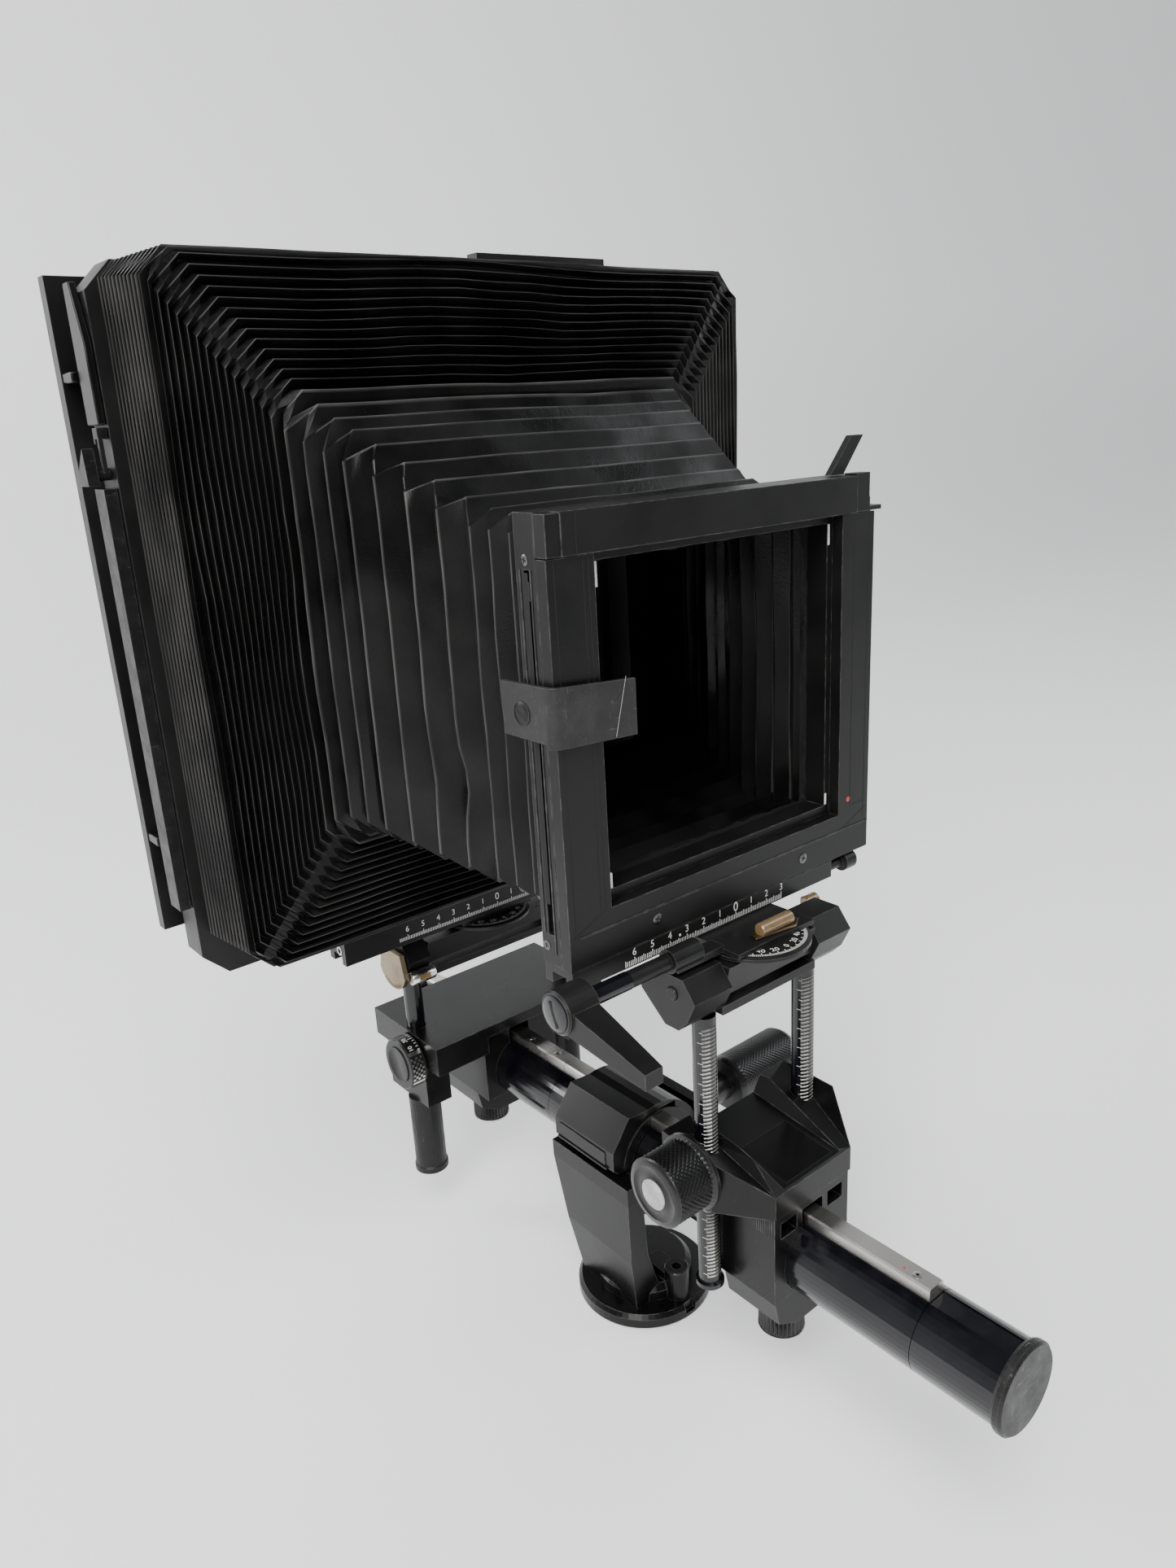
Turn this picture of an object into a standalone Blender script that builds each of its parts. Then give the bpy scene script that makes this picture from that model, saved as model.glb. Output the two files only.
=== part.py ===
"""Monorail view camera: tripod head, round rail, two geared standards, square frames and a tapering bellows.

Sizes below are millimetres in the camera's own datum: x to the right seen from the front, y backwards from the
face of the front frame, z upwards from the axis of the rail. The row's origin is the centre of the underside of
the tripod head, which the function world() works out from HEAD_Y and RAIL_Z.
"""

import math

import bmesh
import bpy
from mathutils import Vector

MM = 0.001
GAP = 0.3

# Tripod head and rail
HEAD_Y = 72.6
RAIL_Z = 91.5
BASE_R = 36.3
RAIL_R = 18.1
RAIL_BORE = 15.1
RAIL_FRONT = -149.0
RAIL_SEAM_FRONT = -108.0
RAIL_SEAM_REAR = 127.0
RAIL_REAR = 277.0
CAP_R = 19.6
CAP_LENGTH = 4.6
RACK_HALF = 4.8
RACK_TOP = 23.2
SLEEVE_R = RAIL_R + 0.35

# Front standard
ROD_R = 5.3
ROD_X = 32.3
ROD_Y = -11.0
YOKE_BOTTOM = 31.3
FRONT_BAR_BOTTOM = 150.6
TILT_BELOW_BAR = 12.6
FRAME_HALF = 92.7
FRAME_BOTTOM = 159.0
FRAME_TOP = 334.0
FRAME_DEPTH = 17.5
APERTURE_HALF = 66.6
APERTURE_BOTTOM = 184.9
APERTURE_TOP = 314.7

# Rear standard
REAR_ROD_X = 53.0
REAR_AXIS_Y = 202.0
REAR_BAR_BOTTOM = 96.2
REAR_BAR_FRONT = 187.0
REAR_HALF = 168.0
BACK_HALF = 174.0
REAR_BOTTOM = 112.3
REAR_TOP = 436.0

# Bellows
FOLD_THICK = 3.0
REAR_CENTRE_Z = 282.0
FRONT_CENTRE_Z = 249.8

AXES = {"X": (1, 2, 0), "Y": (0, 2, 1), "Z": (0, 1, 2)}
pivots = {}
empties = {}
materials = {}


def clear_scene():
    for found in list(bpy.data.objects):
        bpy.data.objects.remove(found)


def world(point):
    """The row's place, in metres, of a point given in the camera's datum."""
    return Vector((point[0], point[1] - HEAD_Y, point[2] + RAIL_Z)) * MM


def add_material(name, colour, roughness, metallic):
    made = bpy.data.materials.new(name)
    made.use_nodes = True
    shader = made.node_tree.nodes["Principled BSDF"]
    shader.inputs["Base Color"].default_value = (*colour, 1.0)
    shader.inputs["Roughness"].default_value = roughness
    shader.inputs["Metallic"].default_value = metallic
    materials[name] = made


def add_body(name, pivot, parent=None):
    """An empty on the joint's axis, which carries the pieces that move together."""
    empty = bpy.data.objects.new(name + "_pivot", None)
    bpy.context.scene.collection.objects.link(empty)
    pivots[name] = Vector(pivot)
    empties[name] = empty
    if parent:
        empty.parent = empties[parent]
        empty.location = world(pivot) - world(pivots[parent])
    else:
        empty.location = world(pivot)


def add_piece(name, body, material, shape, smooth=False):
    """Turns a shape in millimetres into an object whose origin is its body's pivot."""
    bmesh.ops.recalc_face_normals(shape, faces=shape.faces)
    shift = pivots[body]
    for vertex in shape.verts:
        vertex.co = (vertex.co - shift) * MM
    mesh = bpy.data.meshes.new(name)
    shape.to_mesh(mesh)
    shape.free()
    made = bpy.data.objects.new(name, mesh)
    bpy.context.scene.collection.objects.link(made)
    made.parent = empties[body]
    if material:
        mesh.materials.append(materials[material])
    if smooth:
        mesh.shade_smooth()
        mesh.set_sharp_from_angle(angle=math.radians(35))
    made["body"] = body
    return made


def combine(target, operation, shapes):
    """Adds an exact Boolean with each shape, kept as a hidden helper beside its target."""
    for number, shape in enumerate(shapes):
        helper_name = f"helper_{target.name}_{operation.lower()}_{number}"
        helper = add_piece(helper_name, target["body"], None, shape)
        helper.hide_render = True
        helper.display_type = "WIRE"
        helper.hide_set(True)
        modifier = target.modifiers.new(operation.title(), "BOOLEAN")
        modifier.operation = operation
        modifier.solver = "EXACT"
        modifier.object = helper
    return target


def cut(target, *shapes):
    return combine(target, "DIFFERENCE", shapes)


def unite(target, *shapes):
    return combine(target, "UNION", shapes)


def place(axis, across, up, along):
    """A point from its two coordinates across an axis and the one along it."""
    point = [0.0, 0.0, 0.0]
    first, second, third = AXES[axis]
    point[first] = across
    point[second] = up
    point[third] = along
    return point


def loft(sections):
    """A closed solid through rings of the same number of points, capped at both ends."""
    shape = bmesh.new()
    rings = [[shape.verts.new(point) for point in ring] for ring in sections]
    count = len(rings[0])
    for lower, upper in zip(rings, rings[1:]):
        for i in range(count):
            j = (i + 1) % count
            shape.faces.new((lower[i], lower[j], upper[j], upper[i]))
    shape.faces.new(rings[0][::-1])
    shape.faces.new(rings[-1])
    return shape


def tube(sections):
    """A closed solid through rings joined end to end and back to the first one, open along its middle."""
    shape = bmesh.new()
    rings = [[shape.verts.new(point) for point in ring] for ring in sections]
    count = len(rings[0])
    for here, there in zip(rings, rings[1:] + rings[:1]):
        for i in range(count):
            j = (i + 1) % count
            shape.faces.new((here[i], here[j], there[j], there[i]))
    return shape


def prism(axis, outline, start, end):
    return loft([[place(axis, a, b, level) for a, b in outline] for level in (start, end)])


def box(x, y, z):
    corners = [(x[0], y[0]), (x[1], y[0]), (x[1], y[1]), (x[0], y[1])]
    return prism("Z", corners, z[0], z[1])


def arc(centre, radius, start, end, steps):
    """Points round an arc, angles in degrees."""
    angles = [math.radians(start + (end - start) * i / steps) for i in range(steps + 1)]
    return [(centre[0] + radius * math.cos(a), centre[1] + radius * math.sin(a)) for a in angles]


def circle(centre, radius, steps):
    return arc(centre, radius, 0, 360 * (steps - 1) / steps, steps - 1)


def turned(axis, centre, profile, steps=32):
    """A solid of revolution from (radius, height) points, capped at both ends."""
    sections = []
    for radius, level in profile:
        sections.append([place(axis, a, b, level) for a, b in circle(centre, radius, steps)])
    return loft(sections)


def turned_ring(axis, centre, profile, steps=32):
    """A solid of revolution from a closed loop of (radius, height) points."""
    sections = []
    for radius, level in profile:
        sections.append([place(axis, a, b, level) for a, b in circle(centre, radius, steps)])
    return tube(sections)


def rectangle_ring(axis, outer, inner, start, end):
    """A flat frame. outer and inner are (low across, high across, low up, high up)."""
    def corners(limits, level):
        low, high, bottom, top = limits
        points = [(low, bottom), (high, bottom), (high, top), (low, top)]
        return [place(axis, a, b, level) for a, b in points]

    return tube([corners(outer, start), corners(outer, end), corners(inner, end), corners(inner, start)])


def shaft_cutter(axis, centre, radius, start, end, steps=24):
    return turned(axis, centre, [(radius, start), (radius, end)], steps)


def knob_profile(radius, start, end, chamfer=1.0):
    """A plain round knob with chamfered ends, from start to end along its axis."""
    side = math.copysign(chamfer, end - start)
    return [(radius - chamfer, start), (radius, start + side), (radius, end - side), (radius - chamfer, end)]


def define_materials():
    add_material("black_paint", (0.020, 0.020, 0.021), 0.45, 0.0)
    add_material("black_tube", (0.008, 0.008, 0.010), 0.22, 0.0)
    add_material("ground_glass", (0.05, 0.05, 0.052), 0.45, 0.0)
    add_material("black_plastic", (0.028, 0.028, 0.029), 0.5, 0.0)
    add_material("bare_steel", (0.60, 0.58, 0.55), 0.3, 1.0)
    add_material("brass", (0.72, 0.55, 0.32), 0.35, 1.0)
    add_material("bellows_cloth", (0.022, 0.021, 0.021), 0.6, 0.0)
    add_material("rubber", (0.018, 0.018, 0.019), 0.7, 0.0)


def define_bodies():
    front_tilt_z = FRONT_BAR_BOTTOM - TILT_BELOW_BAR
    rear_tilt_z = REAR_BAR_BOTTOM - TILT_BELOW_BAR
    add_body("head_base", (0, HEAD_Y, -RAIL_Z))
    add_body("head_upright", (0, HEAD_Y, -RAIL_Z), "head_base")
    add_body("head_grip", (0, HEAD_Y, 3), "head_upright")
    add_body("clamp_jaw", (-26.5, HEAD_Y, 3), "head_upright")
    add_body("rail", (0, HEAD_Y, 0), "head_upright")
    add_body("front_carriage", (0, ROD_Y, 0), "rail")
    add_body("front_jaw", (0, -26, -16), "front_carriage")
    add_body("front_clamp", (0, -26, -38), "front_jaw")
    add_body("front_rise_drive", (-45, -11.5, 48), "front_carriage")
    add_body("front_riser", (0, ROD_Y, 0), "front_carriage")
    add_body("front_cradle", (0, ROD_Y, front_tilt_z), "front_riser")
    add_body("front_turntable", (0, ROD_Y, front_tilt_z), "front_cradle")
    add_body("front_lever", (-104, ROD_Y, 153), "front_turntable")
    add_body("front_frame", (0, 0, FRONT_BAR_BOTTOM), "front_turntable")
    add_body("front_shift_drive", (66, 4, 153.8), "front_frame")
    add_body("front_latch", (0, 0, 318), "front_frame")
    add_body("latch_lever", (72, 9.8, 334.4), "front_frame")
    add_body("front_clip", (-95, 17, 260.5), "front_frame")
    add_body("rear_carriage", (0, REAR_AXIS_Y, 0), "rail")
    add_body("rear_jaw", (0, 214, -16), "rear_carriage")
    add_body("rear_clamp", (0, 214, -38), "rear_jaw")
    add_body("rear_focus_drive", (-60, 196, 21), "rear_carriage")
    add_body("rear_riser", (0, REAR_AXIS_Y, 0), "rear_carriage")
    add_body("rear_cradle", (0, REAR_AXIS_Y, rear_tilt_z), "rear_riser")
    add_body("rear_turntable", (0, REAR_AXIS_Y, rear_tilt_z), "rear_cradle")
    add_body("rear_frame", (0, REAR_BAR_FRONT, REAR_BAR_BOTTOM), "rear_turntable")
    add_body("rear_back", (0, 230, REAR_CENTRE_Z), "rear_frame")
    add_body("bail_lever", (-171, 205, 352), "rear_frame")


def build_head():
    """Base plate, turning upright with its saddle, hinged clamp jaw and locking grip."""
    floor = -RAIL_Z
    plate = [(BASE_R - 0.6, floor), (BASE_R, floor + 0.6), (BASE_R, floor + 5.5), (34.5, floor + 7.7)]
    base = add_piece("head_base_plate", "head_base", "black_paint", turned("Z", (0, HEAD_Y), plate, 64), True)
    cut(base, box((-3.5, 3.5), (34, 38.6), (floor + 2.5, floor + 9)))

    foot = -83.5
    leg_sections = [
        [(-24, 52, foot), (-6, 52, foot), (-6, 95, foot), (-24, 95, foot)],
        [(-28.5, 49.5, -50), (-17, 49.5, -50), (-17, 101, -50), (-28.5, 101, -50)],
        [(-31, 47, -12), (-21, 47, -12), (-21, 107, -12), (-31, 107, -12)],
        [(-31, 47, -2.4), (-21, 47, -2.4), (-21, 107, -2.4), (-31, 107, -2.4)],
    ]
    upright = add_piece("head_upright", "head_upright", "black_paint", loft(leg_sections))
    saddle = [(-30.2, -2.7), (-30.2, -14), (-24, -26), (-10, -31), (10, -31), (24, -26), (34.5, -14)]
    saddle += [(34.5, 16), (28.6, 16), (28.6, -0.4)]
    saddle += arc((0, 0), SLEEVE_R, -1.2, -178.8, 16) + [(-21.5, -2.7)]
    unite(
        upright,
        prism("Y", saddle, 54, 104),
        turned("Z", (0, HEAD_Y), [(26, foot + 0.05), (26, -78), (23, -75)], 40),
        turned("Z", (0, 46.5), [(6.5, foot + 0.05), (6.5, -66.5), (6, -66)], 24),
        box((-5.2, 5.2), (46.8, 66), (foot + 0.05, -70)),
    )
    cut(upright, shaft_cutter("Z", (0, 46.5), 2.6, -76, -60, 16))

    jaw = arc((0, 0), SLEEVE_R, 178.6, 1.4, 16) + [(28.2, 0.4), (28.2, 8)]
    jaw += arc((0, 0), 28.6, 22, 102, 8) + [(-19, 29), (-30.7, 13.5), (-30.7, 3.2), (-27.5, 0.4)]
    clamp = add_piece("rail_clamp_jaw", "clamp_jaw", "black_paint", prism("Y", jaw, 57, 103.5), True)
    cut(clamp, box((-8, 13), (50, 110), (10, 25.2)))

    grip = [(4.5, 35), (4.5, 50), (8, 51), (8, 64), (14.5, 65), (15.5, 67)]
    grip += [(15.5, 112), (13.5, 115.5), (9, 116.5)]
    add_piece("head_grip", "head_grip", "rubber", turned("X", (HEAD_Y, 3), grip, 40), True)


def build_rail():
    """A tube in three lengths joined by a hidden stud, with rack strips let into its top."""
    centre = (0, 0)
    seam = 0.15

    def length_of_tube(name, start, end):
        wall = [(RAIL_R, start), (RAIL_R, end), (RAIL_BORE, end), (RAIL_BORE, start)]
        made = add_piece(name, "rail", "black_tube", turned_ring("Y", centre, wall, 48), True)
        reach = RACK_HALF + GAP
        cut(made, box((-reach, reach), (start - 1, end + 1), (16.7, 20)))

    length_of_tube("rail_front_section", RAIL_FRONT + CAP_LENGTH + GAP, RAIL_SEAM_FRONT - seam)
    length_of_tube("rail_tube", RAIL_SEAM_FRONT + seam, RAIL_SEAM_REAR - seam)
    length_of_tube("rail_rear_section", RAIL_SEAM_REAR + seam, RAIL_REAR - CAP_LENGTH - GAP)

    for name, outer, inner in (
        ("rail_cap_front", RAIL_FRONT, RAIL_FRONT + CAP_LENGTH),
        ("rail_cap_rear", RAIL_REAR, RAIL_REAR - CAP_LENGTH),
    ):
        step = math.copysign(1.2, inner - outer)
        profile = [(CAP_R - 1.2, outer), (CAP_R, outer + step), (CAP_R, inner - step), (CAP_R - 0.6, inner)]
        add_piece(name, "rail", "black_plastic", turned("Y", centre, profile, 48), True)

    for name, start, end in (
        ("rack_front", RAIL_SEAM_FRONT + seam, RAIL_SEAM_REAR - seam),
        ("rack_rear", RAIL_SEAM_REAR + seam, RAIL_REAR - CAP_LENGTH - 2),
    ):
        strip = [(-RACK_HALF, 17.0), (RACK_HALF, 17.0), (RACK_HALF, 22.4), (4.0, RACK_TOP)]
        strip += [(-4.0, RACK_TOP), (-RACK_HALF, 22.4)]
        add_piece(name, "rail", "bare_steel", prism("Y", strip, start, end))

    for name, middle in (("rail_stud_front", RAIL_SEAM_FRONT), ("rail_stud_rear", RAIL_SEAM_REAR)):
        stud = knob_profile(RAIL_BORE - GAP, middle - 14, middle + 14)
        add_piece(name, "rail", "bare_steel", turned("Y", centre, stud, 32), True)


def rail_block(half_width, bottom, top):
    """Outline of a block that straddles the rail, open below between its two cheeks."""
    angle = math.degrees(math.asin(-bottom / SLEEVE_R))
    inside = arc((0, 0), SLEEVE_R, 180 + angle, -angle, 20)
    return [(-half_width, bottom), (-half_width, top), (half_width, top), (half_width, bottom)] + inside[::-1]


def clamp_jaw_outline():
    """The jaw that closes the block from below the rail."""
    top = -15.9
    angle = math.degrees(math.asin(-top / SLEEVE_R))
    below = [(23, top), (20, -30), (8, -36.5), (-8, -36.5), (-20, -30), (-23, top)]
    return arc((0, 0), SLEEVE_R, 180 + angle, 360 - angle, 8) + below


def build_front_carriage():
    """Yoke, rail block, clamp jaw and their two knobs."""
    low = [(-25.5, -45), (25.5, -45), (41.5, -22), (41.5, 8), (-41.5, 8), (-41.5, -22)]
    tops = (43, 43, 57, 58, 58, 57)
    rings = [[(x, y, YOKE_BOTTOM) for x, y in low], [(x, y, z) for (x, y), z in zip(low, tops)]]
    yoke = add_piece("front_yoke", "front_carriage", "black_paint", loft(rings))
    hollow = [[(-19, -46, 43.4), (19, -46, 43.4), (19, 10, 50.4), (-19, 10, 50.4)]]
    hollow.append([(-26, -46, 60), (26, -46, 60), (26, 10, 62), (-26, 10, 62)])
    cut(
        yoke,
        loft(hollow),
        shaft_cutter("Z", (-ROD_X, ROD_Y), ROD_R + GAP, 20, 70),
        shaft_cutter("Z", (ROD_X, ROD_Y), ROD_R + GAP, 20, 70),
        shaft_cutter("X", (-11.5, 48), 4.0, -43, -40, 16),
    )
    block = prism("Y", rail_block(25.2, -15, YOKE_BOTTOM - GAP), -44, -9)
    body = add_piece("front_rail_block", "front_carriage", "black_paint", block)
    cut(
        body,
        box((-7, 7), (-50, 0), (10, 26.5)),
        box((10.5, 21), (-45, -34), (18.5, 26.5)),
        box((-21, -10.5), (-45, -34), (18.5, 26.5)),
    )
    jaw = prism("Y", clamp_jaw_outline(), -42, -11)
    add_piece("front_clamp_jaw", "front_jaw", "black_paint", jaw)
    knob = [(6, -37), (6, -38.5), (11, -39), (11, -52.8), (10.2, -53.6)]
    add_piece("front_clamp_knob", "front_clamp", "black_plastic", turned("Z", (0, -26), knob, 40), True)
    rise = [(3.6, -40.4), (3.6, -42), (17.3, -42.1), (17.3, -44), (15.9, -44.6), (15.9, -64)]
    rise += [(15.0, -65), (6, -65.5)]
    knob = turned("X", (-11.5, 48), rise, 48)
    add_piece("front_rise_knob", "front_rise_drive", "black_plastic", knob, True)


def cheek_outline(axis_y, tilt_z, foot_z):
    """Side view of one arm of a bearer, from the rod's top to the tilting pin."""
    points = [(-13, -1), (-8, -11), (-3, foot_z - tilt_z), (5, foot_z - tilt_z)]
    points += [(19, -4), (19, 0), (8, 8), (-6, 8)]
    return [(axis_y + across, tilt_z + up) for across, up in points]


def build_bearer(prefix, body, rod_x, axis_y, bar_bottom, inner, outer):
    """The crosspiece on top of two rods, with an arm each side that holds the tilting pin."""
    tilt_z = bar_bottom - TILT_BELOW_BAR
    foot_z = bar_bottom - 28.8
    outline = cheek_outline(axis_y, tilt_z, foot_z)
    bearer = add_piece(prefix + "_bearer", body, "black_paint", prism("X", outline, -outer, -inner))
    bridge = [(axis_y - 9, foot_z + 1.2), (axis_y + 5, foot_z + 1.2)]
    bridge += [(axis_y + 5, tilt_z - 11), (axis_y - 9, tilt_z - 11)]
    unite(bearer, prism("X", outline, inner, outer), prism("X", bridge, -inner - 2, inner + 2))
    cut(bearer, shaft_cutter("X", (axis_y, tilt_z), 3.3, -outer - 5, outer + 5, 16))
    pin = knob_profile(3.0, -outer - 1.0, outer + 1.0, 0.5)
    add_piece(prefix + "_tilt_pin", body, "bare_steel", turned("X", (axis_y, tilt_z), pin, 20), True)


def build_cradle(prefix, body, axis_y, bar_bottom):
    """The block that tilts on the pin, and the graduated disc for swinging on its top."""
    tilt_z = bar_bottom - TILT_BELOW_BAR
    sides = [(-8, -6.9), (8, -6.9), (11, 6.7), (-11, 6.7)]
    outline = [(axis_y + across, tilt_z + up) for across, up in sides]
    cradle = add_piece(prefix + "_tilt_cradle", body, "black_paint", prism("X", outline, -27.4, 27.4))
    cut(cradle, shaft_cutter("X", (axis_y, tilt_z), 3.3, -30, 30, 16))
    disc = [(23.6, bar_bottom - 5.6), (24.5, bar_bottom - 5.1)]
    disc += [(24.5, bar_bottom - 3.6), (22.8, bar_bottom - 2.7)]
    add_piece(prefix + "_degree_disc", body, "black_paint", turned("Z", (0, axis_y), disc, 48), True)


def build_front_riser():
    for side, name in ((-1, "front_rod_left"), (1, "front_rod_right")):
        rod = [(5.8, -18.6), (6.6, -17.8), (6.6, -15.6), (ROD_R, -14.9), (ROD_R, 121.4)]
        add_piece(name, "front_riser", "bare_steel", turned("Z", (side * ROD_X, ROD_Y), rod, 24), True)
    build_bearer("front", "front_riser", ROD_X, ROD_Y, FRONT_BAR_BOTTOM, 27.8, 50.0)
    build_cradle("front", "front_cradle", ROD_Y, FRONT_BAR_BOTTOM)


def build_turntable(prefix, body, axis_y, bar_bottom, bar_front):
    """A plate that swings on the disc, with a tongue in the groove under the shift bar."""
    top = bar_bottom - GAP
    reach = bar_front + 13
    table = box((-24, 24), (axis_y - 13, axis_y + 13), (top - 2.0, top))
    if reach > axis_y + 13:
        table = box((-24, 24), (axis_y - 13, reach), (top - 2.0, top))
    if bar_front < axis_y - 13:
        table = box((-24, 24), (bar_front + 0.5, axis_y + 13), (top - 2.0, top))
    made = add_piece(prefix + "_turntable", body, "black_paint", table)
    unite(made, box((-22, 22), (bar_front + 4.4, bar_front + 12.6), (top - 1.0, top + 4.6)))
    return made


def build_shift_bar(name, body, limits_x, bar_front, depth, bottom, top):
    bar = add_piece(name, body, "black_paint", box(limits_x, (bar_front, bar_front + depth), (bottom, top)))
    groove = box((limits_x[0] - 1, limits_x[1] + 1), (bar_front + 4.1, bar_front + 12.9), (bottom - 2, bottom + 4.9))
    cut(bar, groove)


def build_front_turntable():
    table = build_turntable("front", "front_turntable", ROD_Y, FRONT_BAR_BOTTOM, 0)
    hub = turned("X", (ROD_Y, 153), [(5.2, -52), (5.2, -36)], 24)
    unite(table, hub, box((-50, -23), (-15, -7), (148.4, 151.5)))
    vial = knob_profile(3.0, -6, 14, 0.6)
    add_piece("front_level", "front_turntable", "brass", turned("X", (-19, 153.6), vial, 24), True)
    lever = [(3.6, -52.4), (3.6, -95), (9.0, -95.4), (9.0, -109.4), (8.2, -110.2)]
    handle = add_piece("front_lock_lever", "front_lever", "black_paint", turned("X", (ROD_Y, 153), lever, 32), True)
    near, far = [(-95.6, -6), (-109.2, -6)], [(-97.5, -49.5), (-106.0, -49.5)]
    arm = []
    for low, high in (((145.8, 157.5)), ((138.2, 144.8))):
        row = near if not arm else far
        arm.append([(row[0][0], row[0][1] - 6, low), (row[1][0], row[1][1] - 6, low)])
        arm[-1] += [(row[1][0], row[1][1] - 6, high), (row[0][0], row[0][1] - 6, high)]
    unite(handle, loft(arm))


def build_front_frame():
    """A cast ring with two stiles and a bottom rail in front, and the bar that it shifts on below."""
    body = "front_frame"
    build_shift_bar("front_shift_bar", body, (-92.5, 66), 0, 17.2, FRONT_BAR_BOTTOM, FRAME_BOTTOM - GAP)
    outer = (-FRAME_HALF, FRAME_HALF, FRAME_BOTTOM, FRAME_TOP)
    inner = (-APERTURE_HALF, APERTURE_HALF, APERTURE_BOTTOM, APERTURE_TOP)
    ring = add_piece("front_frame_body", body, "black_paint", rectangle_ring("Y", outer, inner, 6, FRAME_DEPTH))
    cut(ring, box((-95, -90.2), (9, 13), (172, 314)))
    seat = (-70.2, 70.2, 180.5, 317.6)
    unite(ring, rectangle_ring("Y", seat, inner, 5.2, 6.5))
    outline = [(-FRAME_HALF, FRAME_BOTTOM), (FRAME_HALF, FRAME_BOTTOM), (FRAME_HALF, 318), (70.7, 318)]
    outline += [(70.7, 180), (-70.7, 180), (-70.7, 318), (-FRAME_HALF, 318)]
    add_piece("front_board_rim", body, "black_paint", prism("Y", outline, 0, 5.7))

    latch = add_piece("front_latch_bar", "front_latch", "black_paint", box((-86, 79), (-1.2, 5.7), (318.4, FRAME_TOP)))
    unite(
        latch,
        box((-FRAME_HALF, -85.8), (-0.8, 5.7), (318.5, FRAME_TOP - 0.4)),
        box((78.8, 88), (-0.8, 5.7), (318.5, FRAME_TOP + 1)),
        box((87.8, 96.5), (-0.8, 5.7), (318.6, 320.5)),
    )
    tab = [(72, 334.4), (81, 334.4), (94.5, 350.5), (86.5, 350.5)]
    add_piece("front_latch_lever", "latch_lever", "black_paint", prism("Y", tab, 8.2, 11.4))

    clip = add_piece("front_clip", "front_clip", "black_plastic", box((-97, -94.6), (-4, 27), (249.5, 273)))
    unite(clip, box((-96.9, -56.5), (-3.9, -1.8), (249.8, 271.5)))
    drive = [(2.4, 66.4), (2.4, 77), (4.8, 77.6), (4.8, 84.6), (4.0, 85.6)]
    add_piece("front_shift_knob", "front_shift_drive", "black_plastic", turned("X", (4, 153.8), drive, 24), True)


def build_rear_carriage():
    """A wide housing with two hanging rod tubes, a clamp under the rail and a numbered focus knob."""
    outline = [(-60, 20), (-25.6, 20), (-25.6, 30.3), (25.6, 30.3), (25.6, 20), (60, 20), (60, 36.8), (-60, 36.8)]
    housing = add_piece("rear_housing", "rear_carriage", "black_paint", prism("Y", outline, 170, 238))
    unite(
        housing,
        box((-59.8, -44), (186, 226), (-8, 25)),
        box((44, 59.8), (186, 226), (-8, 25)),
    )
    cut(
        housing,
        shaft_cutter("Z", (-REAR_ROD_X, REAR_AXIS_Y), ROD_R + GAP, -20, 50),
        shaft_cutter("Z", (REAR_ROD_X, REAR_AXIS_Y), ROD_R + GAP, -20, 50),
    )
    block = prism("Y", rail_block(25.2, -15, 30), 176, 234)
    body = add_piece("rear_rail_block", "rear_carriage", "black_paint", block)
    cut(body, box((-7, 7), (170, 240), (10, 26.5)))
    add_piece("rear_clamp_jaw", "rear_jaw", "black_paint", prism("Y", clamp_jaw_outline(), 192, 230))
    knob = [(6, -37), (6, -38.5), (11, -39), (11, -52.8), (10.2, -53.6)]
    add_piece("rear_clamp_knob", "rear_clamp", "black_plastic", turned("Z", (0, 214), knob, 40), True)
    for side, name in ((-1, "rear_rod_tube_left"), (1, "rear_rod_tube_right")):
        wall = [(9.2, -8.3), (9.2, -54), (9.9, -54.8), (9.9, -58), (ROD_R + GAP, -58), (ROD_R + GAP, -8.3)]
        add_piece(name, "rear_carriage", "black_plastic", turned_ring("Z", (side * REAR_ROD_X, REAR_AXIS_Y), wall, 28), True)
    drive = [(11, -60.4), (15, -61), (15, -69.4), (14.2, -70.2), (6, -70.4)]
    add_piece("rear_focus_knob", "rear_focus_drive", "black_plastic", turned("X", (196, 21), drive, 48), True)


def build_rear_riser():
    for side, name in ((-1, "rear_rod_left"), (1, "rear_rod_right")):
        rod = [(ROD_R - 0.8, -52), (ROD_R, -51.2), (ROD_R, 67.0)]
        add_piece(name, "rear_riser", "bare_steel", turned("Z", (side * REAR_ROD_X, REAR_AXIS_Y), rod, 20), True)
    build_bearer("rear", "rear_riser", REAR_ROD_X, REAR_AXIS_Y, REAR_BAR_BOTTOM, 46.0, 60.0)
    sector = arc((REAR_AXIS_Y, 79), 14, 200, 340, 10) + [(REAR_AXIS_Y + 10, 88), (REAR_AXIS_Y - 10, 88)]
    add_piece("rear_tilt_scale", "rear_riser", "brass", prism("X", sector, -64.2, -61.4))
    build_cradle_wide()


def build_cradle_wide():
    """The rear tilting block, which reaches out to the wider arms of the rear bearer."""
    tilt_z = REAR_BAR_BOTTOM - TILT_BELOW_BAR
    sides = [(-8, -6.9), (8, -6.9), (11, 6.7), (-11, 6.7)]
    outline = [(REAR_AXIS_Y + across, tilt_z + up) for across, up in sides]
    cradle = add_piece("rear_tilt_cradle", "rear_cradle", "black_paint", prism("X", outline, -45.6, 45.6))
    cut(cradle, shaft_cutter("X", (REAR_AXIS_Y, tilt_z), 3.3, -50, 50, 16))
    low = REAR_BAR_BOTTOM
    disc = [(26, low - 5.6), (27, low - 5.1), (27, low - 3.6), (25.4, low - 2.7)]
    add_piece("rear_degree_disc", "rear_cradle", "black_paint", turned("Z", (0, REAR_AXIS_Y), disc, 48), True)


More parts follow.
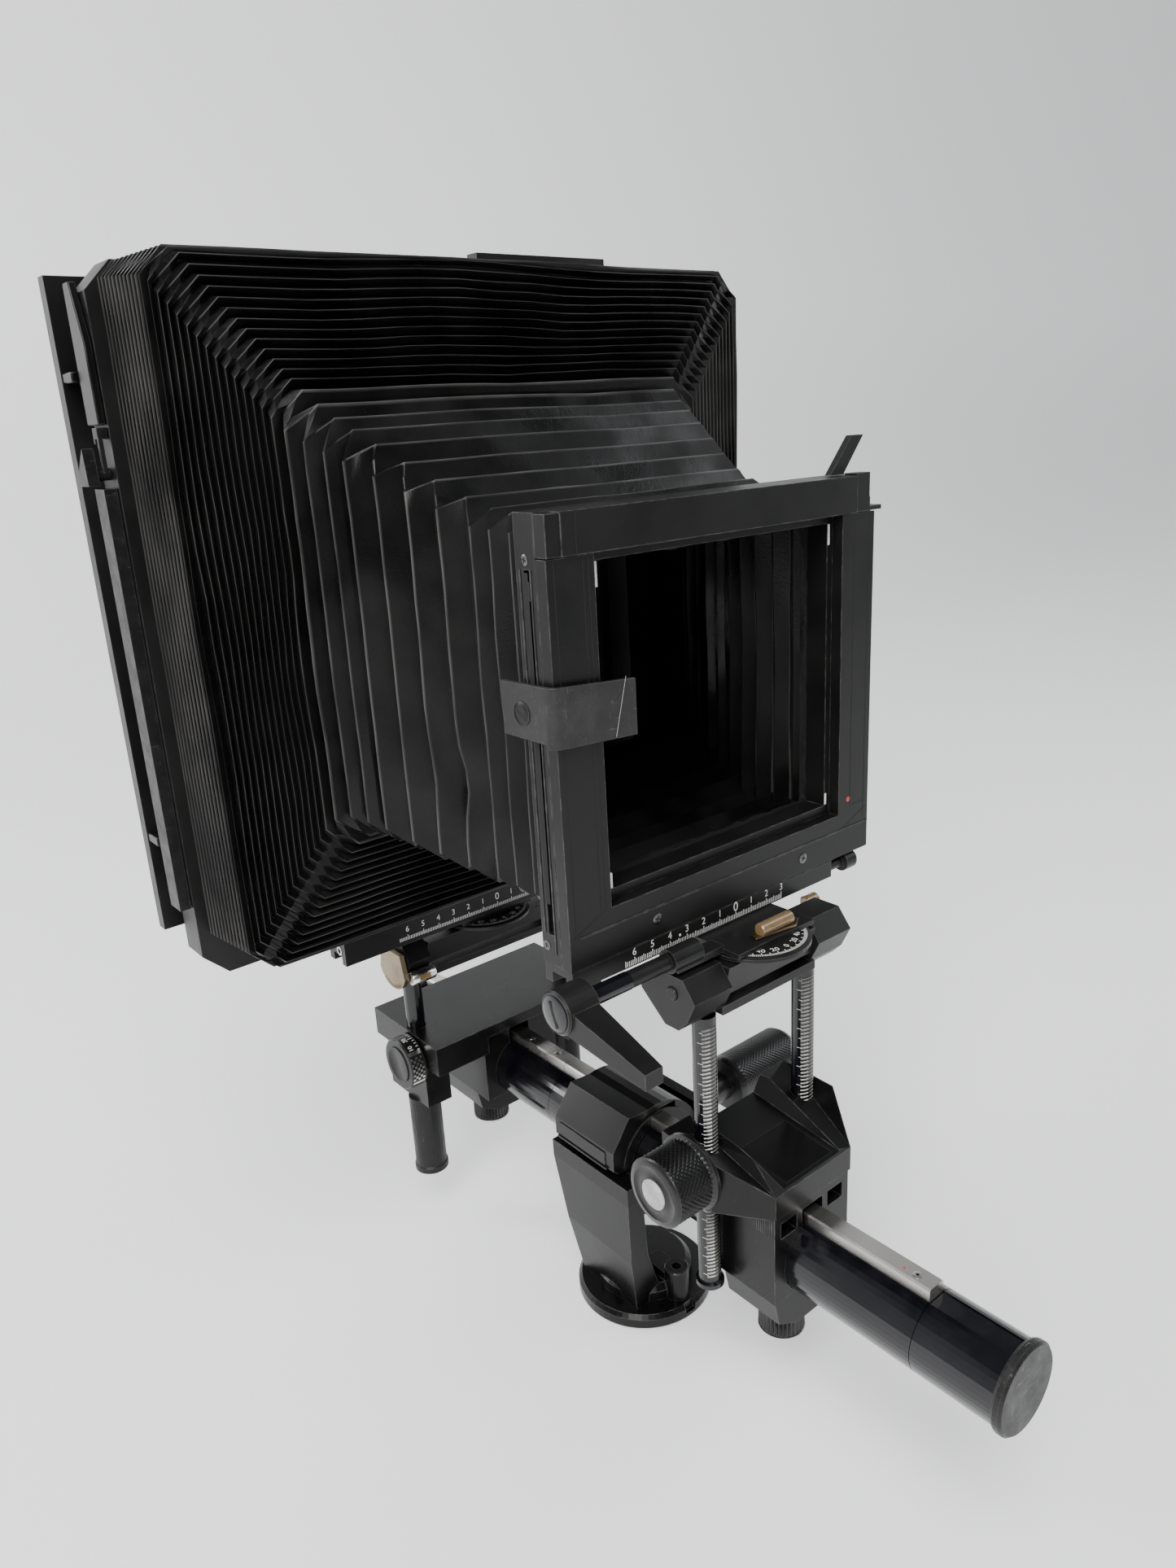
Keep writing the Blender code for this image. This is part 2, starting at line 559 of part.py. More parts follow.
def build_rear_frame():
    """The large square frame, its spring back and the bar that it shifts on."""
    build_turntable("rear", "rear_turntable", REAR_AXIS_Y, REAR_BAR_BOTTOM, REAR_BAR_FRONT)
    build_shift_bar(
        "rear_shift_bar", "rear_frame", (-98, 98), REAR_BAR_FRONT, 17.5, REAR_BAR_BOTTOM, REAR_BOTTOM - GAP
    )
    outer = (-REAR_HALF, REAR_HALF, REAR_BOTTOM, REAR_TOP)
    inner = (-134, 134, REAR_CENTRE_Z - 130, REAR_CENTRE_Z + 130)
    ring = rectangle_ring("Y", outer, inner, 196, 214)
    frame = add_piece("rear_frame_body", "rear_frame", "black_paint", ring)
    corners = []
    for x_side in (-1, 1):
        for z, z_side in ((REAR_BOTTOM, -1), (REAR_TOP, 1)):
            outline = [(x_side * (REAR_HALF + 2), z + z_side * 2), (x_side * (REAR_HALF - 14), z + z_side * 2)]
            outline.append((x_side * (REAR_HALF + 2), z - z_side * 14))
            corners.append(prism("Y", outline, 190, 220))
    cut(frame, *corners)
    posts = []
    for x in (-162, 162):
        for z in (160, 392):
            posts.append(box((x - 5, x + 5), (213, 226.7), (z - 3, z + 3)))
    unite(frame, *posts)
    outer = (-BACK_HALF, BACK_HALF, 131, 433)
    inner = (-130, 130, REAR_CENTRE_Z - 106, REAR_CENTRE_Z + 106)
    back = rectangle_ring("Y", outer, inner, 227, 234)
    add_piece("rear_back_frame", "rear_back", "black_paint", back)
    pane = box((-130 + GAP, 130 - GAP), (228.6, 231.6), (REAR_CENTRE_Z - 106 + GAP, REAR_CENTRE_Z + 106 - GAP))
    add_piece("rear_ground_glass", "rear_back", "ground_glass", pane)
    handle = box((50, 140), (229, 238), (433.3, 451))
    add_piece("rear_back_handle", "rear_back", "black_paint", handle)
    rail = box((-173.8, -168.4), (198, 210), (150, 346))
    add_piece("rear_side_rail", "rear_frame", "black_plastic", rail)
    lever = [(200, 347.5), (211, 347.5), (211.5, 352), (201, 363)]
    bail = add_piece("rear_bail_lever", "bail_lever", "black_plastic", prism("X", lever, -179, -174.2))
    unite(bail, shaft_cutter("X", (205, 352), 2.6, -176, -168.3, 20))


def bellows_ring(half_width, half_height, centre_z, y):
    corner = 0.09 * half_width
    points = []
    for x_side, z_side, swap in ((1, -1, False), (1, 1, True), (-1, 1, False), (-1, -1, True)):
        first = (x_side * (half_width - corner), y, centre_z + z_side * half_height)
        second = (x_side * half_width, y, centre_z + z_side * (half_height - corner))
        points += [second, first] if swap else [first, second]
    return points


def bellows_solid(name, body, stations):
    """One length of bellows as a hollow skin through (y, half width, half height, centre z) stations."""
    outside = [bellows_ring(w, h, c, y) for y, w, h, c in stations]
    inside = [bellows_ring(w - FOLD_THICK, h - FOLD_THICK, c, y) for y, w, h, c in reversed(stations)]
    add_piece(name, body, "bellows_cloth", tube(outside + inside))


def build_bellows():
    """Four lengths, front to back: a square collar, a stretched length, a steep one and a packed one."""
    bellows_solid("bellows_front", "front_frame", [(17.9, 80, 78, FRONT_CENTRE_Z), (36, 81, 80.5, 250.5)])
    stretched = [(36.4, 81, 80.5, 250.5), (61, 83, 82, 252.5), (88, 94, 85, 263), (113, 105.5, 89, 273)]
    bellows_solid("bellows_narrow", "front_riser", stretched + [(135, 113.5, 94.5, 280)])
    bellows_solid(
        "bellows_taper", "rail", [(135.4, 113.5, 94.5, 280), (141, 119, 100, 281), (147.5, 160, 152, REAR_CENTRE_Z)]
    )
    bellows_solid("bellows_stack", "rear_frame", [(147.9, 160, 152, REAR_CENTRE_Z), (195.6, 162, 153, REAR_CENTRE_Z)])


def main():
    clear_scene()
    define_materials()
    define_bodies()
    build_head()
    build_rail()
    build_front_carriage()
    build_front_riser()
    build_front_turntable()
    build_front_frame()
    build_rear_carriage()
    build_rear_riser()
    build_rear_frame()
    build_bellows()


main()
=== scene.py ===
"""Looks of the view camera: the CAD frame with its finish, and the detailed pieces that ride on its bodies.

Lengths are millimetres in the camera's datum: x to the right seen from the front, y backwards from the
front frame's face, z upwards from the rail's axis. P() turns them into the row frame's metres.
"""

import math

import bmesh
import bpy
from mathutils import Matrix, Vector, noise


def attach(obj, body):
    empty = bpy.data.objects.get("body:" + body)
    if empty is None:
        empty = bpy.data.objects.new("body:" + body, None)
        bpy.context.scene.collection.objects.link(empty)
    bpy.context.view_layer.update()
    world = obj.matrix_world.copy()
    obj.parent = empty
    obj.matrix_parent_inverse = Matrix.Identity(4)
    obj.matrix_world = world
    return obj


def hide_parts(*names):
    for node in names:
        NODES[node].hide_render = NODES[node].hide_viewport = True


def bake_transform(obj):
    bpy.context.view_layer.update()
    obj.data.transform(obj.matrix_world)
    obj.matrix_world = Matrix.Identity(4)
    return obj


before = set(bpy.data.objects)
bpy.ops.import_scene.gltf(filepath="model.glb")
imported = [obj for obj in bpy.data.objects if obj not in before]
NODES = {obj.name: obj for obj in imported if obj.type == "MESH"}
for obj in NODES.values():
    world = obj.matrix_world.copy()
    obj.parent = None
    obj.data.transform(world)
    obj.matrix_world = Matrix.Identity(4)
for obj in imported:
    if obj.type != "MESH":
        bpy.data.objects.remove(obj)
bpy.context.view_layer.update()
MM = 0.001
HEAD_Y = 72.6
RAIL_Z = 91.5
AXES = {"X": (1, 2, 0), "Y": (0, 2, 1), "Z": (0, 1, 2)}
X_AXIS, Y_AXIS, Z_AXIS = (1, 0, 0), (0, 1, 0), (0, 0, 1)
FORWARD, LEFTWARD = (0, -1, 0), (-1, 0, 0)

# Centres that several pieces share, each across the axis that it turns about.
RISE_KNOB_AXIS = (-11.5, 48)
FOCUS_KNOB_AXIS = (196, 21)
FOCUS_RIM = 15.08
LEVER_AXIS = (-11, 153)
GRIP_AXIS = (72.6, 3)
BAR_END_AXIS = (193.0, 103.6)
ROD_X, ROD_Y, ROD_RADIUS = 32.3, -11, 5.3
ROD_LOW, ROD_HIGH = -11.0, 118.0
RACK_TOP = 23.2
OPENING_HALF, OPENING_LOW, OPENING_HIGH = 66.6, 184.9, 314.7
GLASS_FACE = 231.66
BACK_FACE = 234.06
BACK_MIDDLE = 282


def P(x, y, z):
    """The row frame's point for millimetres in the camera's datum: front face y = 0, rail axis z = 0."""
    return Vector((x, y - HEAD_Y, z + RAIL_Z)) * MM


# ---------------------------------------------------------------- materials


class Shader:
    """A small builder for procedural materials, in object coordinates and millimetres."""

    def __init__(self, name, roughness=0.5, metallic=0.0, specular=0.5):
        self.material = bpy.data.materials.new(name)
        self.material.use_nodes = True
        self.tree = self.material.node_tree
        self.bsdf = self.tree.nodes["Principled BSDF"]
        self.bsdf.inputs["Metallic"].default_value = metallic
        self.bsdf.inputs["Roughness"].default_value = roughness
        self.bsdf.inputs["Specular IOR Level"].default_value = specular
        self.coords = self.add("ShaderNodeTexCoord").outputs["Object"]
        self.bumps = None

    def add(self, kind, **inputs):
        node = self.tree.nodes.new(kind)
        for key, value in inputs.items():
            self.feed(node.inputs[key.replace("_", " ")], value)
        return node

    def feed(self, socket, value):
        if isinstance(value, bpy.types.NodeSocket):
            self.tree.links.new(value, socket)
        else:
            socket.default_value = value

    def stretched(self, scale):
        mapping = self.add("ShaderNodeMapping", Vector=self.coords)
        mapping.inputs["Scale"].default_value = scale
        return mapping.outputs["Vector"]

    def noise(self, size_mm, detail=3.0, roughness=0.55, stretch=None):
        vector = self.stretched(stretch) if stretch else self.coords
        node = self.add("ShaderNodeTexNoise", Vector=vector, Scale=1.0 / (size_mm * MM), Detail=detail)
        node.inputs["Roughness"].default_value = roughness
        return node.outputs["Fac"]

    def cells(self, size_mm, feature="F1", stretch=None):
        vector = self.stretched(stretch) if stretch else self.coords
        node = self.add("ShaderNodeTexVoronoi", Vector=vector, Scale=1.0 / (size_mm * MM))
        node.feature = feature
        return node.outputs["Distance"]

    def ramp(self, value, low, high, start=0.0, end=1.0):
        node = self.add("ShaderNodeMapRange", Value=value)
        node.interpolation_type = "SMOOTHSTEP"
        for key, number in (("From Min", low), ("From Max", high), ("To Min", start), ("To Max", end)):
            node.inputs[key].default_value = number
        return node.outputs["Result"]

    def times(self, a, b, operation="MULTIPLY"):
        node = self.add("ShaderNodeMath")
        node.operation = operation
        self.feed(node.inputs[0], a)
        self.feed(node.inputs[1], b)
        return node.outputs["Value"]

    def mix(self, factor, a, b):
        node = self.add("ShaderNodeMix")
        node.data_type = "RGBA"
        self.feed(node.inputs["Factor"], factor)
        self.feed(node.inputs["A"], a if isinstance(a, bpy.types.NodeSocket) else (*a, 1.0))
        self.feed(node.inputs["B"], b if isinstance(b, bpy.types.NodeSocket) else (*b, 1.0))
        return node.outputs["Result"]

    def edges(self, radius_mm, strength=1.0):
        """1 along convex edges and 0 on flats, broken up by noise: where a finish wears through."""
        bevel = self.add("ShaderNodeBevel", Radius=radius_mm * MM)
        bevel.samples = 4
        geometry = self.add("ShaderNodeNewGeometry")
        dot = self.add("ShaderNodeVectorMath")
        dot.operation = "DOT_PRODUCT"
        self.tree.links.new(bevel.outputs["Normal"], dot.inputs[0])
        self.tree.links.new(geometry.outputs["Normal"], dot.inputs[1])
        worn = self.ramp(dot.outputs["Value"], 0.985, 0.90)
        return self.times(worn, self.ramp(self.noise(5.0), 0.42, 0.62, 0.25, strength))

    def attribute(self, name):
        node = self.add("ShaderNodeAttribute")
        node.attribute_name = name
        return node.outputs["Fac"]

    def bump(self, height, strength, distance_mm):
        node = self.add("ShaderNodeBump", Height=height, Strength=strength, Distance=distance_mm * MM)
        if self.bumps is not None:
            self.tree.links.new(self.bumps, node.inputs["Normal"])
        self.bumps = node.outputs["Normal"]

    def done(self, colour, roughness=None):
        linked = isinstance(colour, bpy.types.NodeSocket)
        self.feed(self.bsdf.inputs["Base Color"], colour if linked else (*colour, 1.0))
        if roughness is not None:
            self.feed(self.bsdf.inputs["Roughness"], roughness)
        if self.bumps is not None:
            self.tree.links.new(self.bumps, self.bsdf.inputs["Normal"])
        return self.material


def paint(name, base=0.009, rough=(0.30, 0.44), grain=0.35, wear=0.6, grain_mm=0.42, specular=0.24):
    """Stove enamel over cast metal: a fine orange-peel grain, worn grey along its edges."""
    s = Shader(name, specular=specular)
    fine = s.noise(grain_mm, 2.0)
    broad = s.noise(34.0, 4.0)
    dust = s.ramp(s.noise(1.6, 5.0, 0.7), 0.66, 0.8)
    edge = s.edges(0.7, wear)
    tone = s.mix(s.ramp(broad, 0.3, 0.7), (base * 0.8,) * 3, (base * 1.25, base * 1.22, base * 1.2))
    tone = s.mix(s.times(dust, 0.12), tone, (0.13, 0.125, 0.12))
    tone = s.mix(edge, tone, (0.12, 0.118, 0.115))
    s.bump(fine, grain, 0.07)
    return s.done(tone, s.ramp(broad, 0.25, 0.75, *rough))


def tube_black(name):
    """Glossy anodised tube with faint handling marks."""
    s = Shader(name, specular=0.5)
    along = s.noise(2.2, 4.0, 0.6, (1, 0.06, 1))
    smear = s.noise(20.0, 5.0, 0.6)
    tone = s.mix(s.ramp(smear, 0.4, 0.75), (0.003, 0.003, 0.0045), (0.007, 0.007, 0.009))
    s.bump(along, 0.02, 0.02)
    return s.done(tone, s.ramp(smear, 0.3, 0.7, 0.10, 0.20))


def plastic(name, base=0.008, scratches=0.35, rough=(0.34, 0.5), specular=0.25):
    """Moulded plastic, rubbed and scratched."""
    s = Shader(name, specular=specular)
    cloud = s.noise(9.0, 5.0, 0.65)
    fine = s.noise(0.5, 3.0)
    lines = s.times(s.ramp(s.noise(1.1, 6.0, 0.8, (1, 1, 0.12)), 0.6, 0.68), scratches)
    cross = s.times(s.ramp(s.noise(1.3, 6.0, 0.8, (0.14, 1, 1)), 0.61, 0.68), scratches)
    marks = s.times(lines, cross, "MAXIMUM")
    tone = s.mix(s.ramp(cloud, 0.35, 0.7), (base * 0.8,) * 3, (base * 1.3,) * 3)
    tone = s.mix(marks, tone, (0.16, 0.158, 0.155))
    tone = s.mix(s.edges(0.5, 0.5), tone, (0.11, 0.11, 0.108))
    s.bump(fine, 0.25, 0.06)
    return s.done(tone, s.ramp(cloud, 0.3, 0.7, *rough))


def metal(name, colour, rough=(0.2, 0.38), stretch=(1, 0.05, 1), grime=0.3):
    """Bare metal with a machined grain, dulled in patches."""
    s = Shader(name, metallic=1.0)
    grain = s.noise(0.7, 3.0, 0.6, stretch)
    patch = s.noise(16.0, 3.0, 0.5)
    dark = tuple(c * 0.5 for c in colour)
    tone = s.mix(s.times(s.ramp(patch, 0.45, 0.8), grime), colour, dark)
    s.bump(grain, 0.05, 0.03)
    return s.done(tone, s.ramp(patch, 0.3, 0.7, *rough))


def bellows_cloth(name):
    """Black leather cloth over card: pebbled, with a soft sheen, and pale along the fold crests: partly
    rubbed wear, partly a painted highlight where the crests catch the light.
    """
    s = Shader(name, specular=0.2)
    pebble = s.cells(0.9, "F1")
    weave = s.noise(0.5, 2.0)
    crumple = s.noise(7.0, 4.0, 0.6, (1, 1, 0.45))
    cloud = s.noise(26.0, 4.0)
    polish = s.noise(55.0, 2.0)
    fold = s.attribute("fold")
    tone = s.mix(s.ramp(cloud, 0.3, 0.7), (0.002, 0.002, 0.0022), (0.006, 0.0059, 0.0058))
    tone = s.mix(s.times(s.ramp(s.noise(2.0, 5.0, 0.7), 0.66, 0.8), 0.15), tone, (0.12, 0.115, 0.105))
    # Pale crest lines in broad patches: partly rubbed wear, partly a painted highlight on the lit crests.
    tone = s.mix(s.times(fold, s.ramp(s.noise(42.0, 3.0), 0.3, 0.7, 0.2, 0.65)), tone, (0.12, 0.117, 0.112))
    s.bump(crumple, 0.22, 0.5)
    s.bump(pebble, 0.2, 0.10)
    s.bump(weave, 0.2, 0.05)
    s.bsdf.inputs["Sheen Weight"].default_value = 0.01
    s.bsdf.inputs["Sheen Roughness"].default_value = 0.4
    return s.done(tone, s.ramp(polish, 0.40, 0.60, 0.22, 0.52))


def ink(name, colour, rough=0.5):
    """Filled engraving: paint that has thinned and chipped a little."""
    s = Shader(name)
    chips = s.ramp(s.noise(0.5, 4.0), 0.3, 0.5)
    tone = s.mix(chips, tuple(c * 0.55 for c in colour), colour)
    s.bump(s.noise(0.3), 0.1, 0.02)
    return s.done(tone, rough)


def amber_glass(name):
    s = Shader(name, roughness=0.05)
    swirl = s.noise(3.0, 2.0)
    s.bsdf.inputs["Transmission Weight"].default_value = 0.35
    s.bsdf.inputs["Coat Weight"].default_value = 0.6
    tone = s.mix(swirl, (0.17, 0.10, 0.045), (0.36, 0.25, 0.12))
    return s.done(tone, s.ramp(swirl, 0.3, 0.7, 0.05, 0.14))


BLACK = paint("black_paint")
BLACK_FINE = paint("black_paint_fine", base=0.006, rough=(0.34, 0.44), grain=0.6, wear=0.8, grain_mm=0.5)
HOUSING = paint("black_housing", base=0.004, rough=(0.24, 0.34), grain=0.16, wear=0.9)
TUBE = tube_black("black_tube")
PLASTIC = plastic("black_plastic")
CAP = plastic("scuffed_cap", base=0.014, scratches=0.8)
GRIP = plastic("grip_rubber", base=0.012, scratches=0.0, rough=(0.26, 0.36), specular=0.5)
KNURL = plastic("knurled_plastic", base=0.005, scratches=0.1, rough=(0.26, 0.36), specular=0.4)
SCREW = metal("dark_screw", (0.13, 0.13, 0.13), (0.25, 0.35), (1, 1, 1), 0.3)
STEEL = metal("bare_steel", (0.62, 0.60, 0.57), (0.26, 0.32), (1, 0.02, 1), 0.1)
BRASS = metal("brass", (0.27, 0.21, 0.14), (0.3, 0.46), (1, 1, 1), 0.7)
CLOTH = bellows_cloth("bellows_cloth")
WHITE_INK = ink("white_ink", (0.80, 0.80, 0.78))
RED_INK = ink("red_ink", (0.55, 0.03, 0.03))
# Near-black marks: ink for dark seams and engraved ticks, and painted shade in the slots, sockets and holes
# of screws, the lever disc and the frame's stile.
DEEP = ink("dark_marks_and_recess_shade", (0.004, 0.004, 0.004), 0.85)
FELT = paint("felt_edge", base=0.006, rough=(0.85, 0.95), grain=0.8, wear=0.0, grain_mm=1.0)
AMBER = amber_glass("amber_level")
PALE_CAP = plastic("pale_cap", base=0.42, scratches=0.2)
GRID_INK = ink("grid_ink", (0.10, 0.10, 0.10))
ROD_TEETH = metal("rod_teeth", (0.20, 0.195, 0.185), (0.3, 0.4), (1, 1, 1), 0.15)
PALE_STEEL = metal("pale_steel", (0.80, 0.79, 0.77), (0.22, 0.34), (0.1, 1, 1), 0.3)
# Dark grey, much darker than frosted glass: painted shade, so that the glass reads as the dark inside of the
# camera.
GLASS = plastic("ground_glass", base=0.03, scratches=0.0, rough=(0.45, 0.55))
RECESS = paint("label_recess", base=0.0025, rough=(0.16, 0.24), grain=0.08, wear=0.0)
CLIP_GREY = plastic("clip_grey", base=0.022, scratches=0.5, rough=(0.36, 0.48))

BY_NODE = {
    "rail_tube": TUBE, "rail_front_section": TUBE, "rail_rear_section": TUBE,
    "rack_front": STEEL, "rack_rear": STEEL, "rail_stud_front": STEEL, "rail_stud_rear": STEEL,
    "front_tilt_pin": BLACK, "rear_tilt_pin": BLACK,
    "rear_rod_left": TUBE, "rear_rod_right": TUBE, "front_rod_left": TUBE, "front_rod_right": TUBE,
    "rail_cap_front": CAP, "rail_cap_rear": CAP,
    "rear_rod_tube_left": PLASTIC, "rear_rod_tube_right": PLASTIC, "rear_side_rail": PLASTIC,
    "rear_bail_lever": PLASTIC, "front_clip": CLIP_GREY, "rear_ground_glass": GLASS, "head_grip": GRIP,
    "front_yoke": HOUSING, "front_rail_block": HOUSING, "rear_housing": HOUSING, "rear_rail_block": HOUSING,
    "head_upright": HOUSING, "rail_clamp_jaw": HOUSING, "head_base_plate": HOUSING,
    "front_frame_body": BLACK_FINE, "front_board_rim": BLACK_FINE, "front_latch_bar": BLACK_FINE,
    "rear_tilt_scale": BRASS, "front_level": AMBER,
}
BEVELS = {
    "front_yoke": 1.0, "rear_housing": 1.4, "front_rail_block": 0.8, "rear_rail_block": 0.8,
    "head_upright": 1.6, "rail_clamp_jaw": 1.2, "front_bearer": 1.6, "rear_bearer": 1.6,
    "front_tilt_cradle": 1.0, "rear_tilt_cradle": 1.0, "front_clamp_jaw": 1.2, "rear_clamp_jaw": 1.2,
    "front_lock_lever": 1.4, "front_shift_bar": 0.5, "rear_shift_bar": 0.6, "rear_frame_body": 1.2,
    "rear_back_frame": 0.8, "rear_back_handle": 1.2, "rear_side_rail": 0.6, "front_frame_body": 0.7,
    "front_latch_lever": 0.6, "front_turntable": 0.6, "rear_turntable": 0.6,
    "rack_front": 0.4, "rack_rear": 0.4,
    "front_degree_disc": 0.4, "rear_degree_disc": 0.4, "rear_tilt_scale": 0.4, "head_base_plate": 0.5,
}


def soften(obj, width_mm, angle=30):
    """A bevel with smooth shading, so that edges catch the light as cast and milled ones do."""
    modifier = obj.modifiers.new("edge", "BEVEL")
    modifier.width = width_mm * MM
    modifier.segments = 2
    modifier.limit_method = "ANGLE"
    modifier.angle_limit = math.radians(angle)
    modifier.use_clamp_overlap = True
    modifier.harden_normals = False
    obj.data.shade_smooth()
    obj.data.set_sharp_from_angle(angle=math.radians(34))


def finish_nodes():
    for name, node in NODES.items():
        node.data.materials.clear()
        node.data.materials.append(BY_NODE.get(name, BLACK))
        if name in BEVELS:
            soften(node, BEVELS[name])
        else:
            node.data.shade_smooth()
            node.data.set_sharp_from_angle(angle=math.radians(34))


# ---------------------------------------------------------------- shapes


def new_piece(name, shape, material, body, smooth=False, bevel=0.0):
    """Turns a bmesh in datum millimetres into a piece that rides on a body.
    """
    bmesh.ops.recalc_face_normals(shape, faces=shape.faces)
    for vertex in shape.verts:
        vertex.co = P(*vertex.co)
    mesh = bpy.data.meshes.new(name)
    shape.to_mesh(mesh)
    shape.free()
    mesh.materials.append(material)
    made = bpy.data.objects.new(name, mesh)
    bpy.context.scene.collection.objects.link(made)
    if smooth:
        mesh.shade_smooth()
        mesh.set_sharp_from_angle(angle=math.radians(smooth if smooth is not True else 40))
    if bevel:
        soften(made, bevel)
    if body:
        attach(made, body)
    return made


def place(axis, across, up, along):
    point = [0.0, 0.0, 0.0]
    first, second, third = AXES[axis]
    point[first], point[second], point[third] = across, up, along
    return point


def add_loft(shape, sections, caps=True, wrap=False):
    rings = [[shape.verts.new(point) for point in ring] for ring in sections]
    count = len(rings[0])
    following = rings[1:] + (rings[:1] if wrap else [])
    for here, there in zip(rings, following):
        for i in range(count):
            j = (i + 1) % count
            shape.faces.new((here[i], here[j], there[j], there[i]))
    if caps and not wrap:
        shape.faces.new(rings[0][::-1])
        shape.faces.new(rings[-1])
    return shape


def add_prism(shape, axis, outline, start, end):
    return add_loft(shape, [[place(axis, a, b, level) for a, b in outline] for level in (start, end)])


def add_box(shape, x, y, z):
    corners = [(x[0], y[0]), (x[1], y[0]), (x[1], y[1]), (x[0], y[1])]
    return add_prism(shape, "Z", corners, z[0], z[1])


def add_turned(shape, axis, centre, profile, steps=32, ripple=None):
    """A turned solid from (radius, level) points; ripple(angle, level) adds to the radius."""
    sections = []
    for radius, level in profile:
        ring = []
        for i in range(steps):
            angle = 2 * math.pi * i / steps
            r = radius + (ripple(angle, level) if ripple else 0.0)
            ring.append(place(axis, centre[0] + r * math.cos(angle), centre[1] + r * math.sin(angle), level))
        sections.append(ring)
    return add_loft(shape, sections)


def knurled(name, body, material, axis, centre, profile, teeth, band, depth=0.4, diamond=True, pitch=1.6):
    """A knob whose band, from one level to another, is cut with straight or diamond knurling."""
    low, high = sorted(band)
    steps = teeth * 4
    rows = max(2, int(round((high - low) / (pitch / 4)))) if diamond else 2
    full = []
    previous = None
    for radius, level in profile:
        if previous is not None:
            a, b = previous[1], level
            if min(a, b) <= low + 1e-6 and max(a, b) >= high - 1e-6:
                for i in range(1, rows):
                    t = i / rows
                    full.append((previous[0] + (radius - previous[0]) * t, a + (b - a) * t))
        full.append((radius, level))
        previous = (radius, level)

    def ripple(angle, level):
        if not low - 1e-6 <= level <= high + 1e-6:
            return 0.0
        first = math.cos(teeth * angle + (2 * math.pi * level / pitch if diamond else 0.0))
        second = math.cos(teeth * angle - 2 * math.pi * level / pitch) if diamond else first
        return depth * (0.5 * (first + second) - 1.0) * 0.5

    shape = add_turned(bmesh.new(), axis, centre, full, steps, ripple)
    return new_piece(name, shape, material, body, smooth=50)


def text_shape(words, size_mm):
    """Flat outlines of a word, centred, as a bmesh in millimetres in the XY plane."""
    curve = bpy.data.curves.new("letters", "FONT")
    curve.body = words
    curve.size = size_mm
    curve.align_x = "CENTER"
    curve.align_y = "CENTER"
    curve.resolution_u = 3
    carrier = bpy.data.objects.new("letters", curve)
    mesh = bpy.data.meshes.new_from_object(carrier)
    bpy.data.objects.remove(carrier)
    bpy.data.curves.remove(curve)
    shape = bmesh.new()
    shape.from_mesh(mesh)
    bpy.data.meshes.remove(mesh)
    return shape


def add_text(shape, words, size_mm, origin, right, up):
    """Adds a word to shape, on the plane through origin."""
    letters = text_shape(words, size_mm)
    right, up, origin = Vector(right), Vector(up), Vector(origin)
    made = [shape.verts.new(origin + right * v.co.x + up * v.co.y) for v in letters.verts]
    for face in letters.faces:
        shape.faces.new([made[v.index] for v in face.verts])
    letters.free()


def add_mark(shape, origin, right, up, width, height):
    """Adds a flat rectangle centred on origin."""
    right, up, origin = Vector(right) * width / 2, Vector(up) * height / 2, Vector(origin)
    corners = (origin - right - up, origin + right - up, origin + right + up, origin - right + up)
    shape.faces.new([shape.verts.new(c) for c in corners])


# ---------------------------------------------------------------- bellows

# Each row: y, half width, top z and bottom z of the crests, how far the folds go in, how far they go back,
# the width of the corner's chamfer, and how many half folds lead up to the row.
BELLOWS = [
    (20.0, 79.0, 328.0, 172.0, 4.0, 0.0, 1.0, 0),
    (61.0, 82.5, 334.0, 171.0, 7.0, 0.0, 1.0, 7),
    (88.0, 93.5, 347.5, 178.0, 7.0, 0.0, 1.0, 4),
    (113.0, 105.5, 362.5, 184.0, 9.0, 0.0, 1.5, 4),
    (132.0, 112.5, 372.5, 186.0, 10.0, 0.5, 2.5, 4),
    (137.5, 117.5, 379.0, 182.5, 8.0, 2.5, 6.0, 2),
    (139.5, 121.5, 384.0, 178.5, 2.5, 5.0, 11.0, 2),
    (144.5, 161.0, 434.0, 130.5, 0.5, 5.0, 12.0, 26),
    (149.0, 162.5, 436.0, 129.0, 9.0, 0.0, 3.0, 2),
    (195.4, 162.5, 435.5, 128.5, 6.0, 0.0, 1.0, 22),
]
# The y at which each length of bellows ends, front to back, and the bodies ahead of its joint and behind it.
HANDOVERS = [
    (26.0, "front_frame", "front_turntable"),
    (50.0, "front_turntable", "front_cradle"),
    (84.0, "front_cradle", "front_riser"),
    (92.0, "front_riser", "front_carriage"),
    (104.0, "front_carriage", "rail"),
    (116.0, "rail", "rear_carriage"),
    (122.0, "rear_carriage", "rear_riser"),
    (146.0, "rear_riser", "rear_cradle"),
    (192.0, "rear_cradle", "rear_turntable"),
    (196.0, "rear_turntable", "rear_frame"),
]
# The CAD node that each length stands for.
STANDS_FOR = (
    ["bellows_front"] * 2 + ["bellows_narrow"] * 2 + ["bellows_taper"] * 3 + ["bellows_stack"] * 3
)
SIDE_STEPS = 14
CORNER_STEPS = 2
# The dent in the left side: its y and z, and how deep it goes.
DENT = (78.6, 219.0)
DENT_DEPTH = 4.5


def fold_stations():
    """Half-fold stations: odd ones have their crests at the sides, even ones at the top and bottom."""
    stations = [BELLOWS[0][:7]]
    for start, end in zip(BELLOWS, BELLOWS[1:]):
        for i in range(1, end[7] + 1):
            t = i / end[7]
            stations.append(tuple(a + (b - a) * t for a, b in zip(start[:7], end[:7])))
    return stations


